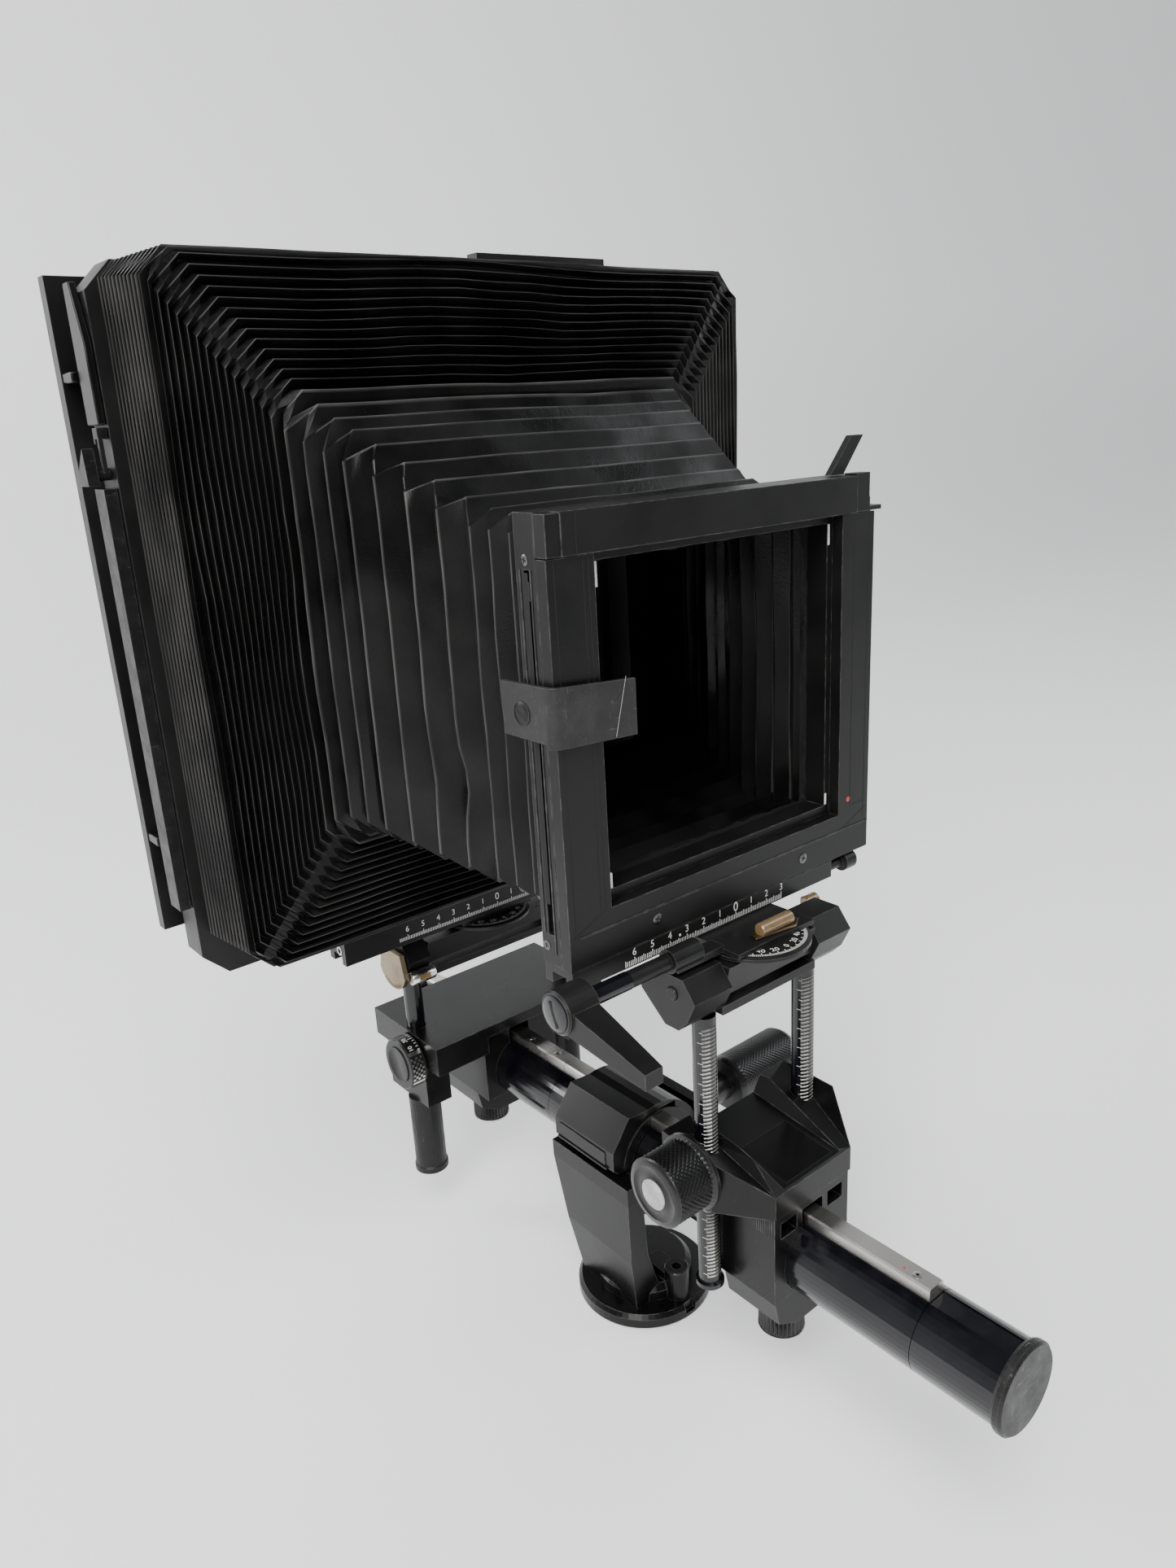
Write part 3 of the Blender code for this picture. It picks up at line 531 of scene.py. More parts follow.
def station_outline(i, station, pitch):
    """Points round one station: bottom, right, top and left side, 0 to 3, each with its corner.

    pitch is the distance to the next station: tightly packed folds wander together and by less.
    """
    y, half, top, bottom, inward, back, chamfer = station
    side_crest = i % 2 == 1
    in_x, in_z = (0.0, inward) if side_crest else (inward, 0.0)
    x, low, high = half - in_x, bottom + in_z, top - in_z
    corners = [(-x, low), (x, low), (x, high), (-x, high)]
    steep = min(back / 5.0, 1.0)
    loose = min(pitch / 6.0, 1.0)
    drift = i * (0.02 + 0.08 * loose)
    points = []
    for side in range(4):
        a, b = Vector(corners[side]), Vector(corners[(side + 1) % 4])
        along = (b - a).normalized()
        outward = Vector((along.y, -along.x))
        first, last = a + along * chamfer, b - along * chamfer
        crest_here = side_crest == (side % 2 == 1)
        depth = 0.0 if crest_here else back
        for k in range(SIDE_STEPS + 1):
            t = k / SIDE_STEPS
            spot = first.lerp(last, t)
            reach = spot.x if side % 2 == 0 else spot.y
            middle = 0.25 + 0.75 * math.sin(math.pi * t)
            wave = noise.noise(Vector((reach * 0.014, drift + side * 7.3, side * 3.1)))
            ripple = noise.noise(Vector((reach * 0.05, drift * 4.0, side * 5.7 + 20)))
            wander = (2.4 * wave + 0.8 * ripple) * middle * (0.35 + 0.65 * steep)
            if side == 3:
                from_dent = ((y - DENT[0]) / 7.0) ** 2 + ((reach - DENT[1]) / 13.0) ** 2
                wander -= DENT_DEPTH * math.exp(-from_dent)
            spot += outward * wander
            lean = noise.noise(Vector((reach * 0.03, i * 0.8 * loose + 4, side * 2.3)))
            forward = (0.08 + 0.9 * loose) * lean
            points.append((spot.x, y + depth + forward, spot.y))
        next_along = (Vector(corners[(side + 2) % 4]) - b).normalized()
        turn_end = b + next_along * chamfer
        for k in range(1, CORNER_STEPS + 1):
            t = k / (CORNER_STEPS + 1)
            spot = last.lerp(turn_end, t)
            swap = 0.5 - 0.5 * math.cos(math.pi * t)
            here = depth + (back - 2 * depth) * swap
            points.append((spot.x, y + here, spot.y))
    return points


def bellows_rings():
    """(fold value, ring of datum points) for every ring, front to back, with close pairs at each fold."""
    stations = fold_stations()
    outlines = []
    for i, station in enumerate(stations):
        beside = stations[i + 1] if i + 1 < len(stations) else stations[i - 1]
        pitch = math.hypot(beside[0] - station[0], beside[1] - station[1])
        outlines.append(station_outline(i, station, pitch))
    rings = []
    flange = [(x * 0.85, 17.8, 250 + (z - 250) * 0.87) for x, y, z in outlines[0]]
    rings.append((0.0, 0, flange))
    for i, (here, there) in enumerate(zip(outlines, outlines[1:])):
        gap = stations[i + 1][0] - stations[i][0]
        wide = gap > 3.0
        places = (0.025, 0.10, 0.5, 0.90, 0.975) if wide else (0.03, 0.14, 0.86, 0.97)
        for t in places:
            ring = []
            for a, b in zip(here, there):
                x, y, z = (p + (q - p) * t for p, q in zip(a, b))
                if t == 0.5:
                    puff = 1.6 * noise.noise(Vector((x * 0.05, z * 0.05, i * 1.7)))
                    x += math.copysign(puff, x) if abs(x) > 70 else 0.0
                    z += puff * 0.6 if abs(x) <= 70 else 0.0
                ring.append((x, y, z))
            near_fold = 1.0 if t < 0.05 or t > 0.95 else 0.0
            crest_station = i if t < 0.5 else i + 1
            rings.append((near_fold, crest_station, ring))
    closing = [(x * 0.84, 195.5, 282 + (z - 282) * 0.86) for x, y, z in outlines[-1]]
    rings.append((0.0, 1, closing))
    return rings


def build_bellows():
    rings = bellows_rings()
    depths = [sum(p[1] for p in ring) / len(ring) for _, _, ring in rings]
    per_side = SIDE_STEPS + 1 + CORNER_STEPS
    start = 0
    for number, (limit, ahead, behind) in enumerate(HANDOVERS):
        if number == len(HANDOVERS) - 1:
            end = len(rings) - 1
        else:
            end = max(start + 1, max(i for i, y in enumerate(depths) if y <= limit))
        shape = bmesh.new()
        layer = shape.verts.layers.float.new("fold")
        made = []
        for fold, station, ring in rings[start : end + 1]:
            row = []
            for k, point in enumerate(ring):
                vertex = shape.verts.new(point)
                at_side = (k // per_side) % 2 == 1
                vertex[layer] = fold if at_side == (station % 2 == 1) else 0.0
                row.append(vertex)
            made.append(row)
        for here, there in zip(made, made[1:]):
            for k in range(len(here)):
                j = (k + 1) % len(here)
                shape.faces.new((here[k], here[j], there[j], there[k]))
        piece = new_piece(f"bellows_fold_{number + 1:02d}", shape, CLOTH, None, smooth=28)
        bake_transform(piece)
        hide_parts(STANDS_FOR[number])
        start = end


# ---------------------------------------------------------------- knobs and grips


def build_knobs():
    rise = [(3.6, -40.4), (3.6, -42), (17.3, -42.1), (17.3, -44), (15.9, -44.6), (15.9, -45.2)]
    rise += [(15.9, -63.4), (15.9, -64), (15.0, -65), (12.8, -65.3)]
    rise += [(12.2, -64.7), (8.0, -64.7), (7.4, -65.3), (6, -65.5)]
    band = (-63.4, -45.2)
    axis, body = RISE_KNOB_AXIS, "front_rise_drive"
    knob = knurled("rise_knob", body, KNURL, "X", axis, rise, 40, band, 1.0, True, 2.5)
    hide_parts("front_rise_knob")
    cap = add_turned(bmesh.new(), "X", axis, [(6.9, -65.3), (6.9, -65.8), (6.3, -66.1)], 40)
    new_piece("rise_knob_cap", cap, PALE_CAP, body, smooth=40)

    for standard, y in (("front", -26.0), ("rear", 214.0)):
        name, body = f"{standard}_clamp_knob", f"{standard}_clamp"
        profile = [(6, -37), (6, -38.5), (11, -39), (11, -39.6), (11, -51.4), (10.4, -51.6)]
        piece = knurled(name + "_serrated", body, KNURL, "Z", (0, y), profile, 32, (-51.4, -39.6), 1.1, False)
        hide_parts(name)
        rim = [(10.0, -51.5), (11.2, -51.9), (11.2, -52.9), (10.4, -53.6)]
        ring = add_turned(bmesh.new(), "Z", (0, y), rim, 48)
        new_piece(name + "_ring", ring, STEEL, body, smooth=40)

    grip = [(4.5, 35), (4.5, 50), (8, 51), (8, 64), (14.5, 65), (15.5, 67), (15.5, 70)]
    grip += [(15.5, 111), (15.5, 112), (13.5, 115.5), (9, 116.5)]
    band = (70, 111)
    piece = knurled("head_grip_ribbed", "head_grip", GRIP, "X", GRIP_AXIS, grip, 44, band, 0.55, True, 2.4)
    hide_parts("head_grip")
    build_focus_knob()


def on_drum(angle, x, radius):
    """A point on the rear focusing knob's rim; the angle runs from the back over the top to the front."""
    turn = math.radians(angle)
    y, z = FOCUS_KNOB_AXIS
    return (x, y + radius * math.cos(turn), z + radius * math.sin(turn))


def add_drum_patch(shape, angles, x_range, radius):
    steps = max(1, int((angles[1] - angles[0]) / 4))
    rows = []
    for i in range(steps + 1):
        angle = angles[0] + (angles[1] - angles[0]) * i / steps
        rows.append([shape.verts.new(on_drum(angle, x, radius)) for x in x_range])
    for a, b in zip(rows, rows[1:]):
        shape.faces.new((a[0], a[1], b[1], b[0]))


def build_focus_knob():
    """The dial ring with its ticks, a silver index bar and a sector of bright knurling."""
    ticks = bmesh.new()
    for i in range(25):
        angle = -60 + i * 8
        long = i % 5 == 0
        add_drum_patch(ticks, (angle, angle + 1.4), (-61.6, -64.4 if long else -63.0), 15.06)
    for i, words in ((-20, "30"), (20, "10"), (60, "0"), (100, "20"), (126, "10")):
        centre = on_drum(i, -66.6, FOCUS_RIM)
        tangent = (Vector(on_drum(i + 1, 0, 1)) - Vector(on_drum(i - 1, 0, 1))).normalized()
        add_text(ticks, words, 3.6, centre, -tangent, X_AXIS)
    new_piece("focus_dial_marks", ticks, WHITE_INK, "rear_focus_drive")
    bars = bmesh.new()
    for start in (134, 206):
        add_drum_patch(bars, (start, start + 8), (-61.8, -69.2), FOCUS_RIM)
    for row in range(9):
        for column in range(5):
            start = 147 + row * 6
            x = -62.2 - column * 1.5
            if (row + column) % 2 == 0:
                add_drum_patch(bars, (start, start + 5), (x, x - 1.3), 15.10)
    new_piece("focus_dial_bars", bars, STEEL, "rear_focus_drive")
    profile = [(10.6, -70.3), (10.6, -70.9), (9.6, -71.0), (9.0, -70.6)]
    face = add_turned(bmesh.new(), "X", FOCUS_KNOB_AXIS, profile, 44)
    new_piece("focus_knob_face", face, PLASTIC, "rear_focus_drive", smooth=40)


# ---------------------------------------------------------------- rods and rail


def build_rods():
    """The rack cut into each front rod, on the side towards the pinion, and its marks every 5 mm."""
    outward = math.radians(-110)
    normal = Vector((math.cos(outward), math.sin(outward), 0))
    across = Vector((-normal.y, normal.x, 0))
    for side, x in (("left", -ROD_X), ("right", ROD_X)):
        axis = Vector((x, ROD_Y, 0))
        teeth = bmesh.new()
        z = ROD_LOW
        while z < ROD_HIGH:
            rows = []
            for reach in (-3.3, -1.7, 0.0, 1.7, 3.3):
                surface = math.sqrt(ROD_RADIUS**2 - reach**2)
                slant = reach * 0.16
                ring = []
                for lift, dz in ((-0.15, -0.62), (0.42, -0.2), (0.42, 0.2), (-0.15, 0.62)):
                    spot = axis + across * reach + normal * (surface + lift)
                    ring.append((spot.x, spot.y, z + dz + slant))
                rows.append(ring)
            add_loft(teeth, rows)
            z += 1.9
        new_piece(f"front_rod_teeth_{side}", teeth, ROD_TEETH, "front_riser")
        marks = bmesh.new()
        turn = outward - math.radians(55)
        radial = Vector((math.cos(turn), math.sin(turn), 0))
        right = Vector((-radial.y, radial.x, 0))
        for i in range(-10, 118, 5):
            wide = 2.6 if i % 10 == 0 else 1.6
            spot = axis + radial * 5.36 + right * (2.2 - wide / 2)
            add_mark(marks, (spot.x, spot.y, i), right, (0, 0, 1), wide, 0.22)
        new_piece(f"front_rod_marks_{side}", marks, WHITE_INK, "front_riser")


def add_screw(shape, origin, normal, radius, rise, steps=24):
    """A low domed screw head standing on a surface."""
    normal = Vector(normal).normalized()
    side = normal.orthogonal().normalized()
    other = normal.cross(side)
    rings = []
    for r, h in ((radius, -0.1), (radius, rise * 0.5), (radius * 0.8, rise), (radius * 0.45, rise)):
        ring = []
        for i in range(steps):
            angle = 2 * math.pi * i / steps
            ring.append(Vector(origin) + (side * math.cos(angle) + other * math.sin(angle)) * r + normal * h)
        rings.append(ring)
    add_loft(shape, rings)


def add_cross(shape, origin, normal, size, slots=2, turn=0.5):
    """The dark cross, or the single slot, in a screw's head: a flat mark of painted shade standing for the
    recess.
    """
    normal = Vector(normal).normalized()
    side = normal.orthogonal().normalized()
    other = normal.cross(side)
    along = side * math.cos(turn) + other * math.sin(turn)
    across = normal.cross(along)
    add_mark(shape, origin, along, across, size, size * 0.24)
    if slots == 2:
        add_mark(shape, Vector(origin) + normal * 0.01, across, along, size, size * 0.24)


def build_rail_details():
    bolts = bmesh.new()
    dots = bmesh.new()
    hollows = bmesh.new()
    for y in (-99.4, 138.0, 162.0):
        add_screw(bolts, (-0.9, y, RACK_TOP), Z_AXIS, 2.1, 0.22)
        # Dark hexagons on the bolt heads: painted shade standing for their sockets.
        add_screw(hollows, (-0.9, y, RACK_TOP + 0.06), Z_AXIS, 1.0, 0.2, 6)
    for y in (-93.3, 108.5):
        add_screw(dots, (-1.4, y, RACK_TOP), Z_AXIS, 0.65, 0.12, 12)
    new_piece("rack_bolts", bolts, STEEL, "rail", smooth=40)
    new_piece("rack_bolt_hollows", hollows, DEEP, "rail")
    new_piece("rack_red_dots", dots, RED_INK, "rail")


# ---------------------------------------------------------------- scales


def build_scales():
    front = bmesh.new()
    for i in range(-65, 31):
        height = 3.2 if i % 10 == 0 else 2.8 if i % 5 == 0 else 2.3
        add_mark(front, (i, -0.06, 151.2 + height / 2), X_AXIS, Z_AXIS, 0.36, height)
    for i in range(-6, 4):
        add_text(front, str(abs(i)), 6.2 if i == 0 else 4.6, (i * 10, -0.07, 156.7), X_AXIS, Z_AXIS)
    add_turned(front, "Y", (-34.2, 155.2), [(0.6, -0.02), (0.6, -0.09)], 12)
    new_piece("front_shift_scale", front, WHITE_INK, "front_frame")

    rear = bmesh.new()
    for i in range(-65, 36):
        height = 3.0 if i % 10 == 0 else 2.0
        add_mark(rear, (i, 186.92, 98.8 + height / 2), X_AXIS, Z_AXIS, 0.4, height)
    for i in range(-6, 4):
        add_text(rear, str(abs(i)), 6.0 if i == 0 else 4.6, (i * 10, 186.9, 105.0), X_AXIS, Z_AXIS)
    new_piece("rear_shift_scale", rear, WHITE_INK, "rear_frame")
    for name, body, y, z, radius in (
        ("front_swing_scale", "front_cradle", -11.0, 147.96, 22.6),
        ("rear_swing_scale", "rear_cradle", 202.0, 93.56, 25.2),
    ):
        shape = bmesh.new()
        for i in range(-35, 36):
            angle = math.radians(-90 + i * 2)
            radial = Vector((math.cos(angle), math.sin(angle), 0))
            across = Vector((-math.sin(angle), math.cos(angle), 0))
            length = 2.6 if i % 5 == 0 else 1.5
            spot = Vector((0, y, z)) + radial * (radius - length / 2)
            add_mark(shape, spot, radial, across, length, 0.36)
            if i % 10 == 0:
                centre = Vector((0, y, z)) + radial * (radius - 4.6)
                add_text(shape, str(abs(i) * 2), 4.0, centre, across, -radial)
        new_piece(name, shape, WHITE_INK, body)
    build_tilt_scale()


def build_tilt_scale():
    """Ticks across the brass sector at the side of the rear standard."""
    shape = bmesh.new()
    for i in range(-9, 10):
        angle = math.radians(-90 + i * 4.2)
        radial = Vector((0, math.cos(angle), math.sin(angle)))
        across = Vector((0, -math.sin(angle), math.cos(angle)))
        length = 2.4 if i % 3 == 0 else 1.4
        spot = Vector((-64.26, 202, 79)) + radial * (13.2 - length / 2)
        add_mark(shape, spot, radial, across, length, 0.3)
    new_piece("rear_tilt_marks", shape, DEEP, "rear_riser")


# ---------------------------------------------------------------- front frame


def build_front_frame_details():
    seams = bmesh.new()
    for x, height in ((-89.4, 150), (-76.2, 138), (-73.6, 138), (79.0, 132), (89.2, 150)):
        add_mark(seams, (x, -0.04, 249.5), X_AXIS, Z_AXIS, 0.42, height)
    add_mark(seams, (84.1, -0.04, 183.2), X_AXIS, Z_AXIS, 10.4, 0.42)
    add_mark(seams, (-79.5, -1.26, 326.2), X_AXIS, Z_AXIS, 0.42, 14.6)
    for x in (-82.4, 82.4):
        add_mark(seams, (x, -0.05, 176.4), (1, 0, 0.42), (-0.42, 0, 1), 17.5, 0.35)
    new_piece("front_frame_seams", seams, DEEP, "front_frame")

    heads = bmesh.new()
    crosses = bmesh.new()
    for x, z in ((-46.7, 166.9), (45.2, 166.2)):
        add_screw(heads, (x, 0, z), FORWARD, 2.5, 0.35)
        add_cross(crosses, (x, -0.38, z), FORWARD, 2.8)
    for y, z in ((12.0, 317.5), (14.8, 166.5)):
        add_screw(heads, (-92.7, y, z), LEFTWARD, 2.1, 0.3)
        add_cross(crosses, (-93.03, y, z), LEFTWARD, 2.4)
    new_piece("front_frame_screws", heads, SCREW, "front_frame", smooth=40)
    # Flat dark marks of painted shade: the screws' crosses, and here the stile's slot and a small recess.
    add_mark(crosses, (-92.76, 12.0, 249.0), Y_AXIS, Z_AXIS, 2.7, 128)
    add_mark(crosses, (-92.77, 12.0, 306.5), Y_AXIS, Z_AXIS, 4.2, 7.0)
    new_piece("front_frame_recesses", crosses, DEEP, "front_frame")

    grooves = bmesh.new()
    add_box(grooves, (-88, 92.4), (-0.28, 0.1), (171.8, 172.7))
    add_box(grooves, (-93.0, -92.6), (8.6, 9.3), (164, 314))
    add_box(grooves, (-93.0, -92.6), (14.8, 15.5), (172, 314))
    new_piece("front_frame_slot_lips", grooves, BLACK_FINE, "front_frame")

    marks = bmesh.new()
    left = ((-66.0, 305, 314.4), (-66.0, 185.2, 191.6))
    right = ((67.5, 305.5, 314.4), (67.3, 185.4, 190.8))
    for x, low, high in left + right:
        add_box(marks, (x - 0.6, x + 0.6), (5.0, 6.4), (low, high))
    new_piece("front_corner_marks", marks, WHITE_INK, "front_frame", bevel=0.1)
    dot = add_turned(bmesh.new(), "Y", (77.6, 183.5 + 3.0), [(1.25, 0.0), (1.25, -0.12), (0.9, -0.2)], 20)
    new_piece("front_red_dot", dot, RED_INK, "front_frame")
    build_felt()
    build_clip()
    build_lever_details()


def build_felt():
    """Ragged remains of a light seal round the inside of the opening."""
    shape = bmesh.new()
    runs = [
        ((-OPENING_HALF, OPENING_HIGH), (OPENING_HALF, OPENING_HIGH), (0, -1)),
        ((OPENING_HALF, OPENING_HIGH), (OPENING_HALF, OPENING_LOW), (-1, 0)),
        ((OPENING_HALF, OPENING_LOW), (-OPENING_HALF, OPENING_LOW), (0, 1)),
    ]
    for number, (start, end, inward) in enumerate(runs):
        before = None
        for i in range(91):
            t = i / 90
            x, z = (a + (b - a) * t for a, b in zip(start, end))
            broad = noise.noise(Vector((t * 9, number * 5.0, 0)))
            fine = noise.noise(Vector((t * 38, number, 3)))
            wide = max(1.6 + 2.4 * broad + 1.1 * fine, 0.25)
            level = 16.2 + 0.6 * noise.noise(Vector((t * 20, number, 9)))
            outer = shape.verts.new((x, level, z))
            inner = shape.verts.new((x + inward[0] * wide, level + 0.5, z + inward[1] * wide))
            if before:
                shape.faces.new((before[0], outer, inner, before[1]))
            before = (outer, inner)
    new_piece("front_light_seal", shape, FELT, "front_frame")


def quarter_bend(reach, depth):
    """Points of the clip's bend about its own centre, from the left side round to the front."""
    angles = [math.radians(a) for a in range(0, 91, 15)]
    return [(-92.0 - reach * math.cos(a), 0.6 - depth * math.sin(a)) for a in angles]


def build_clip():
    """The bent sheet clip at the left of the frame, held by a slotted screw."""
    shape = bmesh.new()
    inner = [(-94.7, 27.0), (-94.7, 3.0)] + quarter_bend(2.7, 2.7) + [(-75, -2.1), (-56.5, -2.1)]
    outer = [(-96.7, 27.0), (-96.7, 3.0)] + quarter_bend(4.7, 4.4) + [(-75, -3.8), (-56.5, -3.8)]
    sections = []
    for (xi, yi), (xo, yo) in zip(inner, outer):
        t = min(max((xi + 94.7) / 38.2, 0.0), 1.0)
        low = 250.6 - 2.1 * t + (1.6 if t == 0 else 0)
        high = 273.6 - 3.0 * t - (0.6 if yi > 20 else 0)
        sections.append([(xi, yi, low), (xo, yo, low), (xo, yo, high), (xi, yi, high)])
    add_loft(shape, sections)
    piece = new_piece(
        "front_clip_sheet", shape, CLIP_GREY, "front_clip", smooth=35, bevel=0.25
    )
    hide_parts("front_clip")
    head = bmesh.new()
    add_screw(head, (-96.7, 14.4, 262), LEFTWARD, 4.6, 0.9)
    new_piece("front_clip_screw", head, BLACK, "front_clip", smooth=40)
    # The screw's slot is a flat dark mark: painted shade.
    slot = bmesh.new()
    add_cross(slot, (-97.64, 14.4, 262), LEFTWARD, 7.0, 1, 0.35)
    new_piece("front_clip_screw_slot", slot, DEEP, "front_clip")
    scratch = bmesh.new()
    add_mark(scratch, (-64.4, -3.86, 261), (0.26, 0, 0.97), (-0.97, 0, 0.26), 23, 0.12)
    new_piece("front_clip_scratch", scratch, WHITE_INK, "front_clip")


def build_lever_details():
    """The plate under the level, the slotted disc on the end of the lock lever, and its shaft's sleeve."""
    base = bmesh.new()
    outline = [(-9.5, -20.5), (13.0, -23.5), (19.0, -19.5), (17.5, -15.0), (-8.0, -15.5)]
    add_prism(base, "Z", outline, 150.5, 151.5)
    new_piece("front_level_plate", base, BRASS, "front_turntable", bevel=0.25)
    profile = [(7.2, -109.6), (7.2, -110.5), (5.8, -111.0), (2.0, -111.2)]
    disc = add_turned(bmesh.new(), "X", LEVER_AXIS, profile, 40)
    new_piece("lever_disc", disc, TUBE, "front_lever", smooth=40)
    # The disc's slot is a flat dark mark: painted shade.
    slot = bmesh.new()
    add_mark(slot, (-111.25, -11, 153), (0, 0.35, 0.94), (0, 0.94, -0.35), 11.0, 1.5)
    new_piece("lever_disc_slot", slot, DEEP, "front_lever")
    sleeve = add_turned(bmesh.new(), "X", LEVER_AXIS, [(3.8, -93.0), (3.8, -74.0)], 32)
    new_piece("lever_shaft_sleeve", sleeve, TUBE, "front_lever", smooth=40)


# ---------------------------------------------------------------- carriages and head


def build_carriage_details():
    panel = bmesh.new()
    slope = (50.4 - 43.4) / 56.0

    def on_floor(x, y, lift=0.06):
        return (x, y, 43.4 + (y + 46) * slope + lift)

    corners = [on_floor(-15.5, -42), on_floor(15.5, -42), on_floor(15.5, -15), on_floor(-15.5, -15)]
    panel.faces.new([panel.verts.new(c) for c in corners])
    new_piece("yoke_label_panel", panel, RECESS, "front_carriage")
    rim = bmesh.new()
    for a, b in zip(corners, corners[1:] + corners[:1]):
        middle = (Vector(a) + Vector(b)) / 2 + Vector((0, 0, 0.02))
        along = (Vector(b) - Vector(a)).normalized()
        across = along.cross(Vector((0, -slope, 1)).normalized())
        add_mark(rim, middle, along, across, (Vector(b) - Vector(a)).length, 0.35)
    new_piece("yoke_label_rim", rim, DEEP, "front_carriage")

    ribs = bmesh.new()
    for i in range(9):
        add_box(ribs, (-25.35, -25.15), (-42.6 + i * 1.25, -42.1 + i * 1.25), (20.4, 29.6))
    new_piece("block_ridges", ribs, HOUSING, "front_carriage")

    profile = [(3.4, -60.6), (3.9, -60.0), (3.9, -46.2), (3.4, -45.6)]
    vial = add_turned(bmesh.new(), "X", (188.5, 74.0), profile, 28)
    new_piece("rear_side_vial", vial, PALE_STEEL, "rear_riser", smooth=40)
    window = bmesh.new()
    add_mark(window, (-53.2, 184.58, 74.8), (1, 0, 0), (0, 0.2, 1), 7.0, 3.0)
    new_piece("rear_side_vial_window", window, AMBER, "rear_riser")

    hole = add_turned(bmesh.new(), "X", BAR_END_AXIS, [(2.6, -98.06), (2.6, -98.2), (1.7, -98.24)], 24)
    new_piece("rear_bar_end_screw", hole, STEEL, "rear_frame")
    # A dark disc in the screw's middle: painted shade standing for its hole.
    hole = add_turned(bmesh.new(), "X", BAR_END_AXIS, [(1.5, -98.2), (1.4, -98.3)], 24)
    new_piece("rear_bar_end_hole", hole, DEEP, "rear_frame")
    pointer = bmesh.new()
    corners = ((21.2, 178.9, 93.7), (23.4, 178.9, 93.7), (22.3, 182.4, 93.7))
    pointer.faces.new([pointer.verts.new(c) for c in corners])
    new_piece("rear_red_pointer", pointer, RED_INK, "rear_cradle")

    profile = [(2.6, 50.2), (3.3, 50.8), (3.3, 57.6), (2.6, 58.2)]
    glass = add_turned(bmesh.new(), "X", (3.0, 141.0), profile, 28)
    new_piece("front_side_vial", glass, AMBER, "front_riser", smooth=40)


def build_head_details():
    plate = bmesh.new()
    add_box(plate, (-31.2, -30.6), (63.0, 99.6), (4.2, 12.0))
    new_piece("head_label_plate", plate, RECESS, "clamp_jaw", bevel=0.3)
    lip = bmesh.new()
    add_box(lip, (-31.9, -30.6), (61.6, 101.0), (2.6, 3.9))
    new_piece("head_label_lip", lip, HOUSING, "clamp_jaw", bevel=0.35)
    pin = bmesh.new()
    add_screw(pin, (-25.6, 54.0, -6.0), FORWARD, 2.0, 0.4)
    new_piece("head_hinge_pin", pin, STEEL, "head_upright", smooth=40)
    rim = bmesh.new()
    angles = [math.radians(a) for a in range(4, 176, 6)]
    rows = []
    for y in (56.0, 57.2):
        for r in (18.9, 24.8):
            rows.append([(r * math.cos(a), y, r * math.sin(a)) for a in angles])
    order = [rows[0], rows[1], rows[3], rows[2]]
    for a, b in zip(order, order[1:] + order[:1]):
        for i in range(len(a) - 1):
            rim.faces.new([rim.verts.new(p) for p in (a[i], a[i + 1], b[i + 1], b[i])])
    bmesh.ops.remove_doubles(rim, verts=rim.verts, dist=0.001)
    new_piece("head_front_rim", rim, HOUSING, "clamp_jaw", smooth=40)


def build_rear_side_details():
    """The fork clip, the cross-bars and the stepped plate at the left edge of the rear frame."""
    plate = bmesh.new()
    outline = [(197.0, 372.0), (211.0, 372.0), (211.0, 428.0), (204.0, 428.0), (197.0, 404.0)]
    add_prism(plate, "X", outline, -171.6, -168.3)
    new_piece("rear_side_plate", plate, HOUSING, "rear_frame", bevel=0.5)
    bars = bmesh.new()
    for z in (392.0, 181.0):
        add_box(bars, (-173.6, -168.2), (214.4, 226.6), (z - 2.2, z + 2.2))
    new_piece("rear_cross_bars", bars, HOUSING, "rear_frame", bevel=0.6)
    fork = bmesh.new()
    add_box(fork, (-172.6, -168.2), (197.5, 203.5), (366.4, 371.0))
    add_box(fork, (-172.6, -170.6), (197.5, 199.3), (352.5, 367.0))
    add_box(fork, (-172.6, -170.6), (201.8, 203.5), (364.4, 367.0))
    new_piece("rear_fork_clip", fork, PLASTIC, "rear_frame", bevel=0.3)
    lines = bmesh.new()
    for x in (-171.0, 171.0):
        add_mark(lines, (x, BACK_FACE, BACK_MIDDLE), X_AXIS, Z_AXIS, 0.5, 292)
    for z in (160.0, 404.0):
        add_mark(lines, (0, BACK_FACE, z), X_AXIS, Z_AXIS, 300, 0.5)
    new_piece("rear_back_seams", lines, DEEP, "rear_back")
    grid = bmesh.new()
    for x in range(-120, 121, 20):
        add_mark(grid, (x, GLASS_FACE, BACK_MIDDLE), X_AXIS, Z_AXIS, 0.25, 211)
    for z in range(182, 383, 20):
        add_mark(grid, (0, GLASS_FACE, z), X_AXIS, Z_AXIS, 259, 0.25)
    new_piece("ground_glass_grid", grid, GRID_INK, "rear_back")


# ---------------------------------------------------------------- set


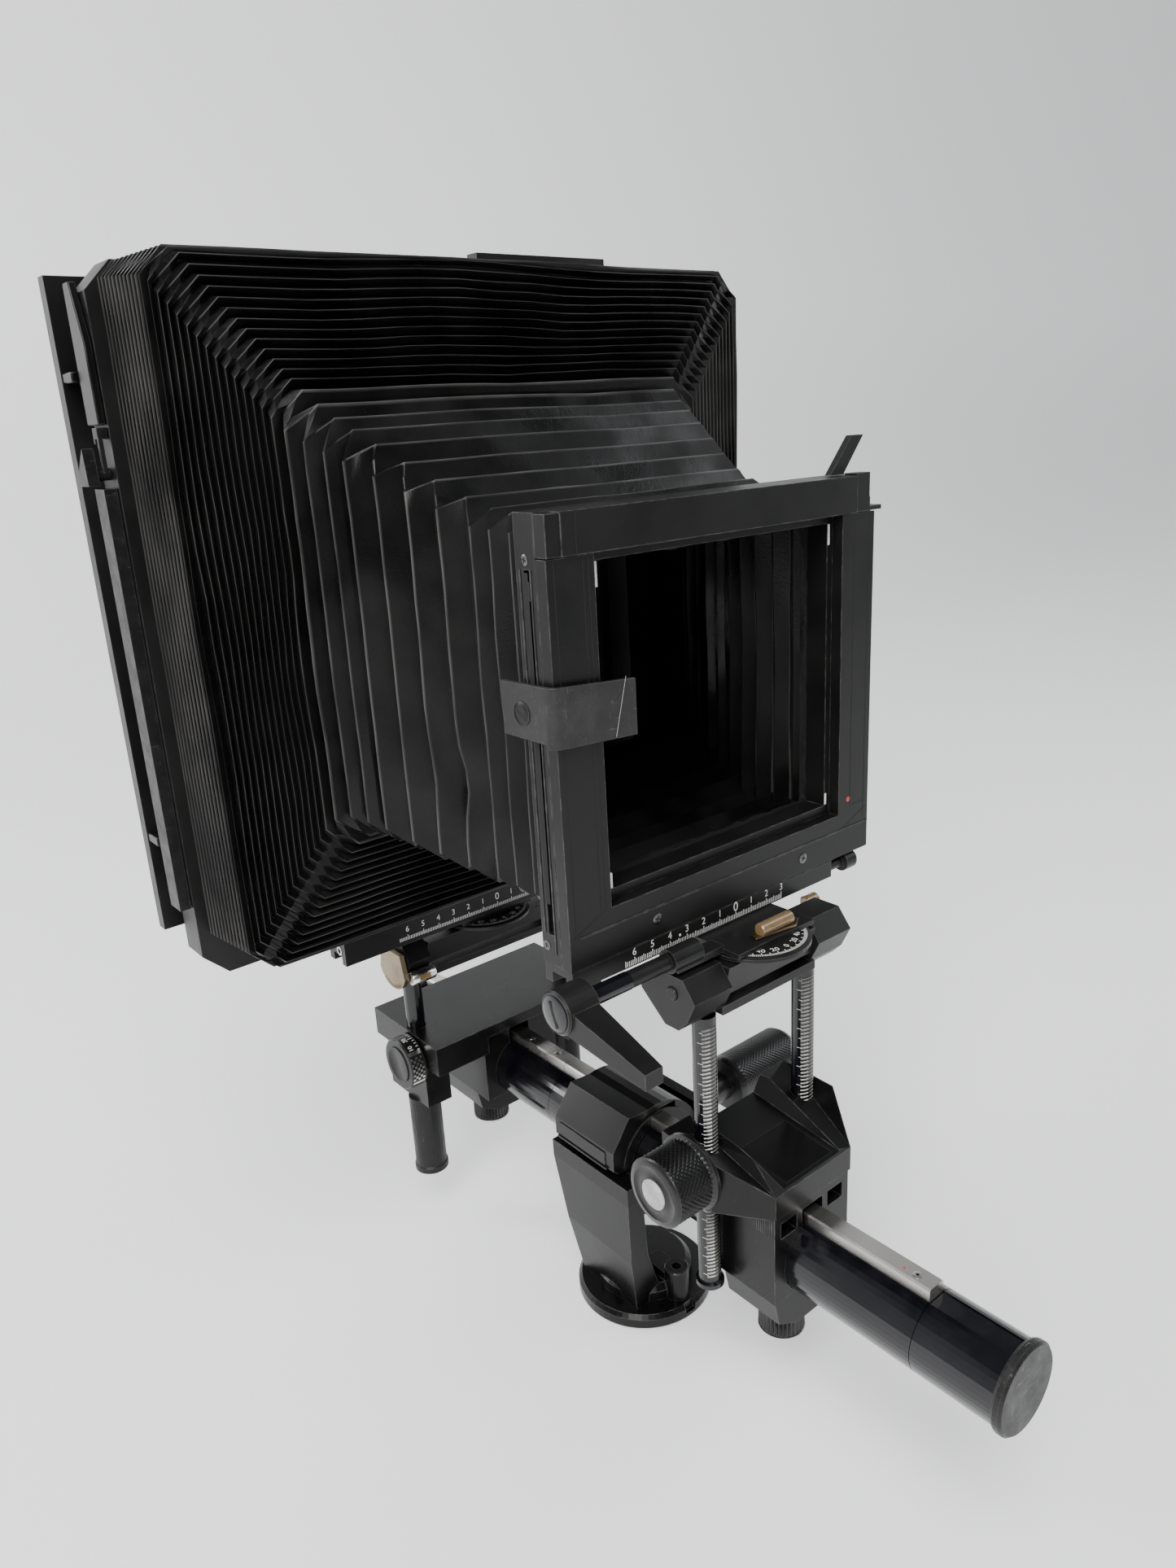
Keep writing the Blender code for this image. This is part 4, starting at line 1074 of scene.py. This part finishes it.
def build_stage():
    """A pale floor that curves up into a wall behind the object, in metres."""
    shape = bmesh.new()
    floor, curve_start, curve_radius = -0.0005, 0.9, 0.7
    profile = [(-1.6, floor), (curve_start, floor)]
    for i in range(1, 13):
        angle = math.radians(90 * i / 12)
        rise = curve_radius * (1 - math.cos(angle))
        profile.append((curve_start + curve_radius * math.sin(angle), floor + rise))
    profile.append((1.6, 3.0))
    rows = []
    for y, z in profile:
        rows.append([shape.verts.new((x, y, z)) for x in (-9.0, 9.0)])
    for a, b in zip(rows, rows[1:]):
        shape.faces.new((a[0], a[1], b[1], b[0]))
    mesh = bpy.data.meshes.new("sweep")
    shape.to_mesh(mesh)
    shape.free()
    mesh.shade_smooth()
    s = Shader("sweep_paper", roughness=0.35, specular=0.4)
    cloud = s.noise(300.0, 3.0)
    s.bsdf.inputs["Emission Color"].default_value = (0.97, 0.98, 1.0, 1.0)
    s.bsdf.inputs["Emission Strength"].default_value = 0.42
    mesh.materials.append(s.done(s.mix(cloud, (0.86, 0.865, 0.87), (0.90, 0.90, 0.90)), 0.5))
    sweep = bpy.data.objects.new("sweep", mesh)
    bpy.context.scene.collection.objects.link(sweep)


def area_light(name, location, target, size, power, colour=(1, 1, 1)):
    data = bpy.data.lights.new(name, "AREA")
    data.shape = "RECTANGLE"
    data.size, data.size_y = size
    data.energy = power
    data.color = colour
    lamp = bpy.data.objects.new(name, data)
    bpy.context.scene.collection.objects.link(lamp)
    lamp.location = location
    lamp.rotation_euler = (Vector(target) - Vector(location)).to_track_quat("-Z", "Y").to_euler()


def build_lights():
    world = bpy.data.worlds.new("room")
    bpy.context.scene.world = world
    world.use_nodes = True
    background = world.node_tree.nodes["Background"]
    background.inputs["Color"].default_value = (0.80, 0.83, 0.86, 1.0)
    background.inputs["Strength"].default_value = 0.23
    area_light("key_left", (-1.5, -0.9, 1.3), (0, 0.05, 0.3), (0.8, 1.2), 26, (1.0, 0.98, 0.95))
    area_light("top", (-0.7, -0.7, 1.8), (0, 0.05, 0.2), (1.0, 1.0), 34)
    area_light("back_left", (-0.95, 1.15, 0.95), (0, 0.0, 0.1), (0.3, 0.9), 9)
    area_light("right", (1.5, -0.6, 1.0), (0, 0.0, 0.25), (0.8, 1.2), 9, (0.95, 0.98, 1.0))


def build_camera():
    data = bpy.data.cameras.new("photo_view")
    data.sensor_width = 36.0
    data.sensor_fit = "AUTO"
    data.lens = 25.79
    data.clip_start = 0.01
    data.clip_end = 20.0
    camera = bpy.data.objects.new("photo_view", data)
    bpy.context.scene.collection.objects.link(camera)
    right = Vector((0.76505, -0.64171, -0.05388))
    up = Vector((0.23890, 0.20513, 0.94913))
    forward = Vector((0.59802, 0.73900, -0.31024))
    turn = Matrix((right, up, -forward)).transposed().to_4x4()
    camera.matrix_world = Matrix.Translation((-0.33148, -0.38426, 0.45580)) @ turn
    bpy.context.scene.camera = camera


def main():
    finish_nodes()
    build_bellows()
    build_knobs()
    build_rods()
    build_rail_details()
    build_scales()
    build_front_frame_details()
    build_carriage_details()
    build_head_details()
    build_rear_side_details()
    build_stage()
    build_lights()
    build_camera()


main()
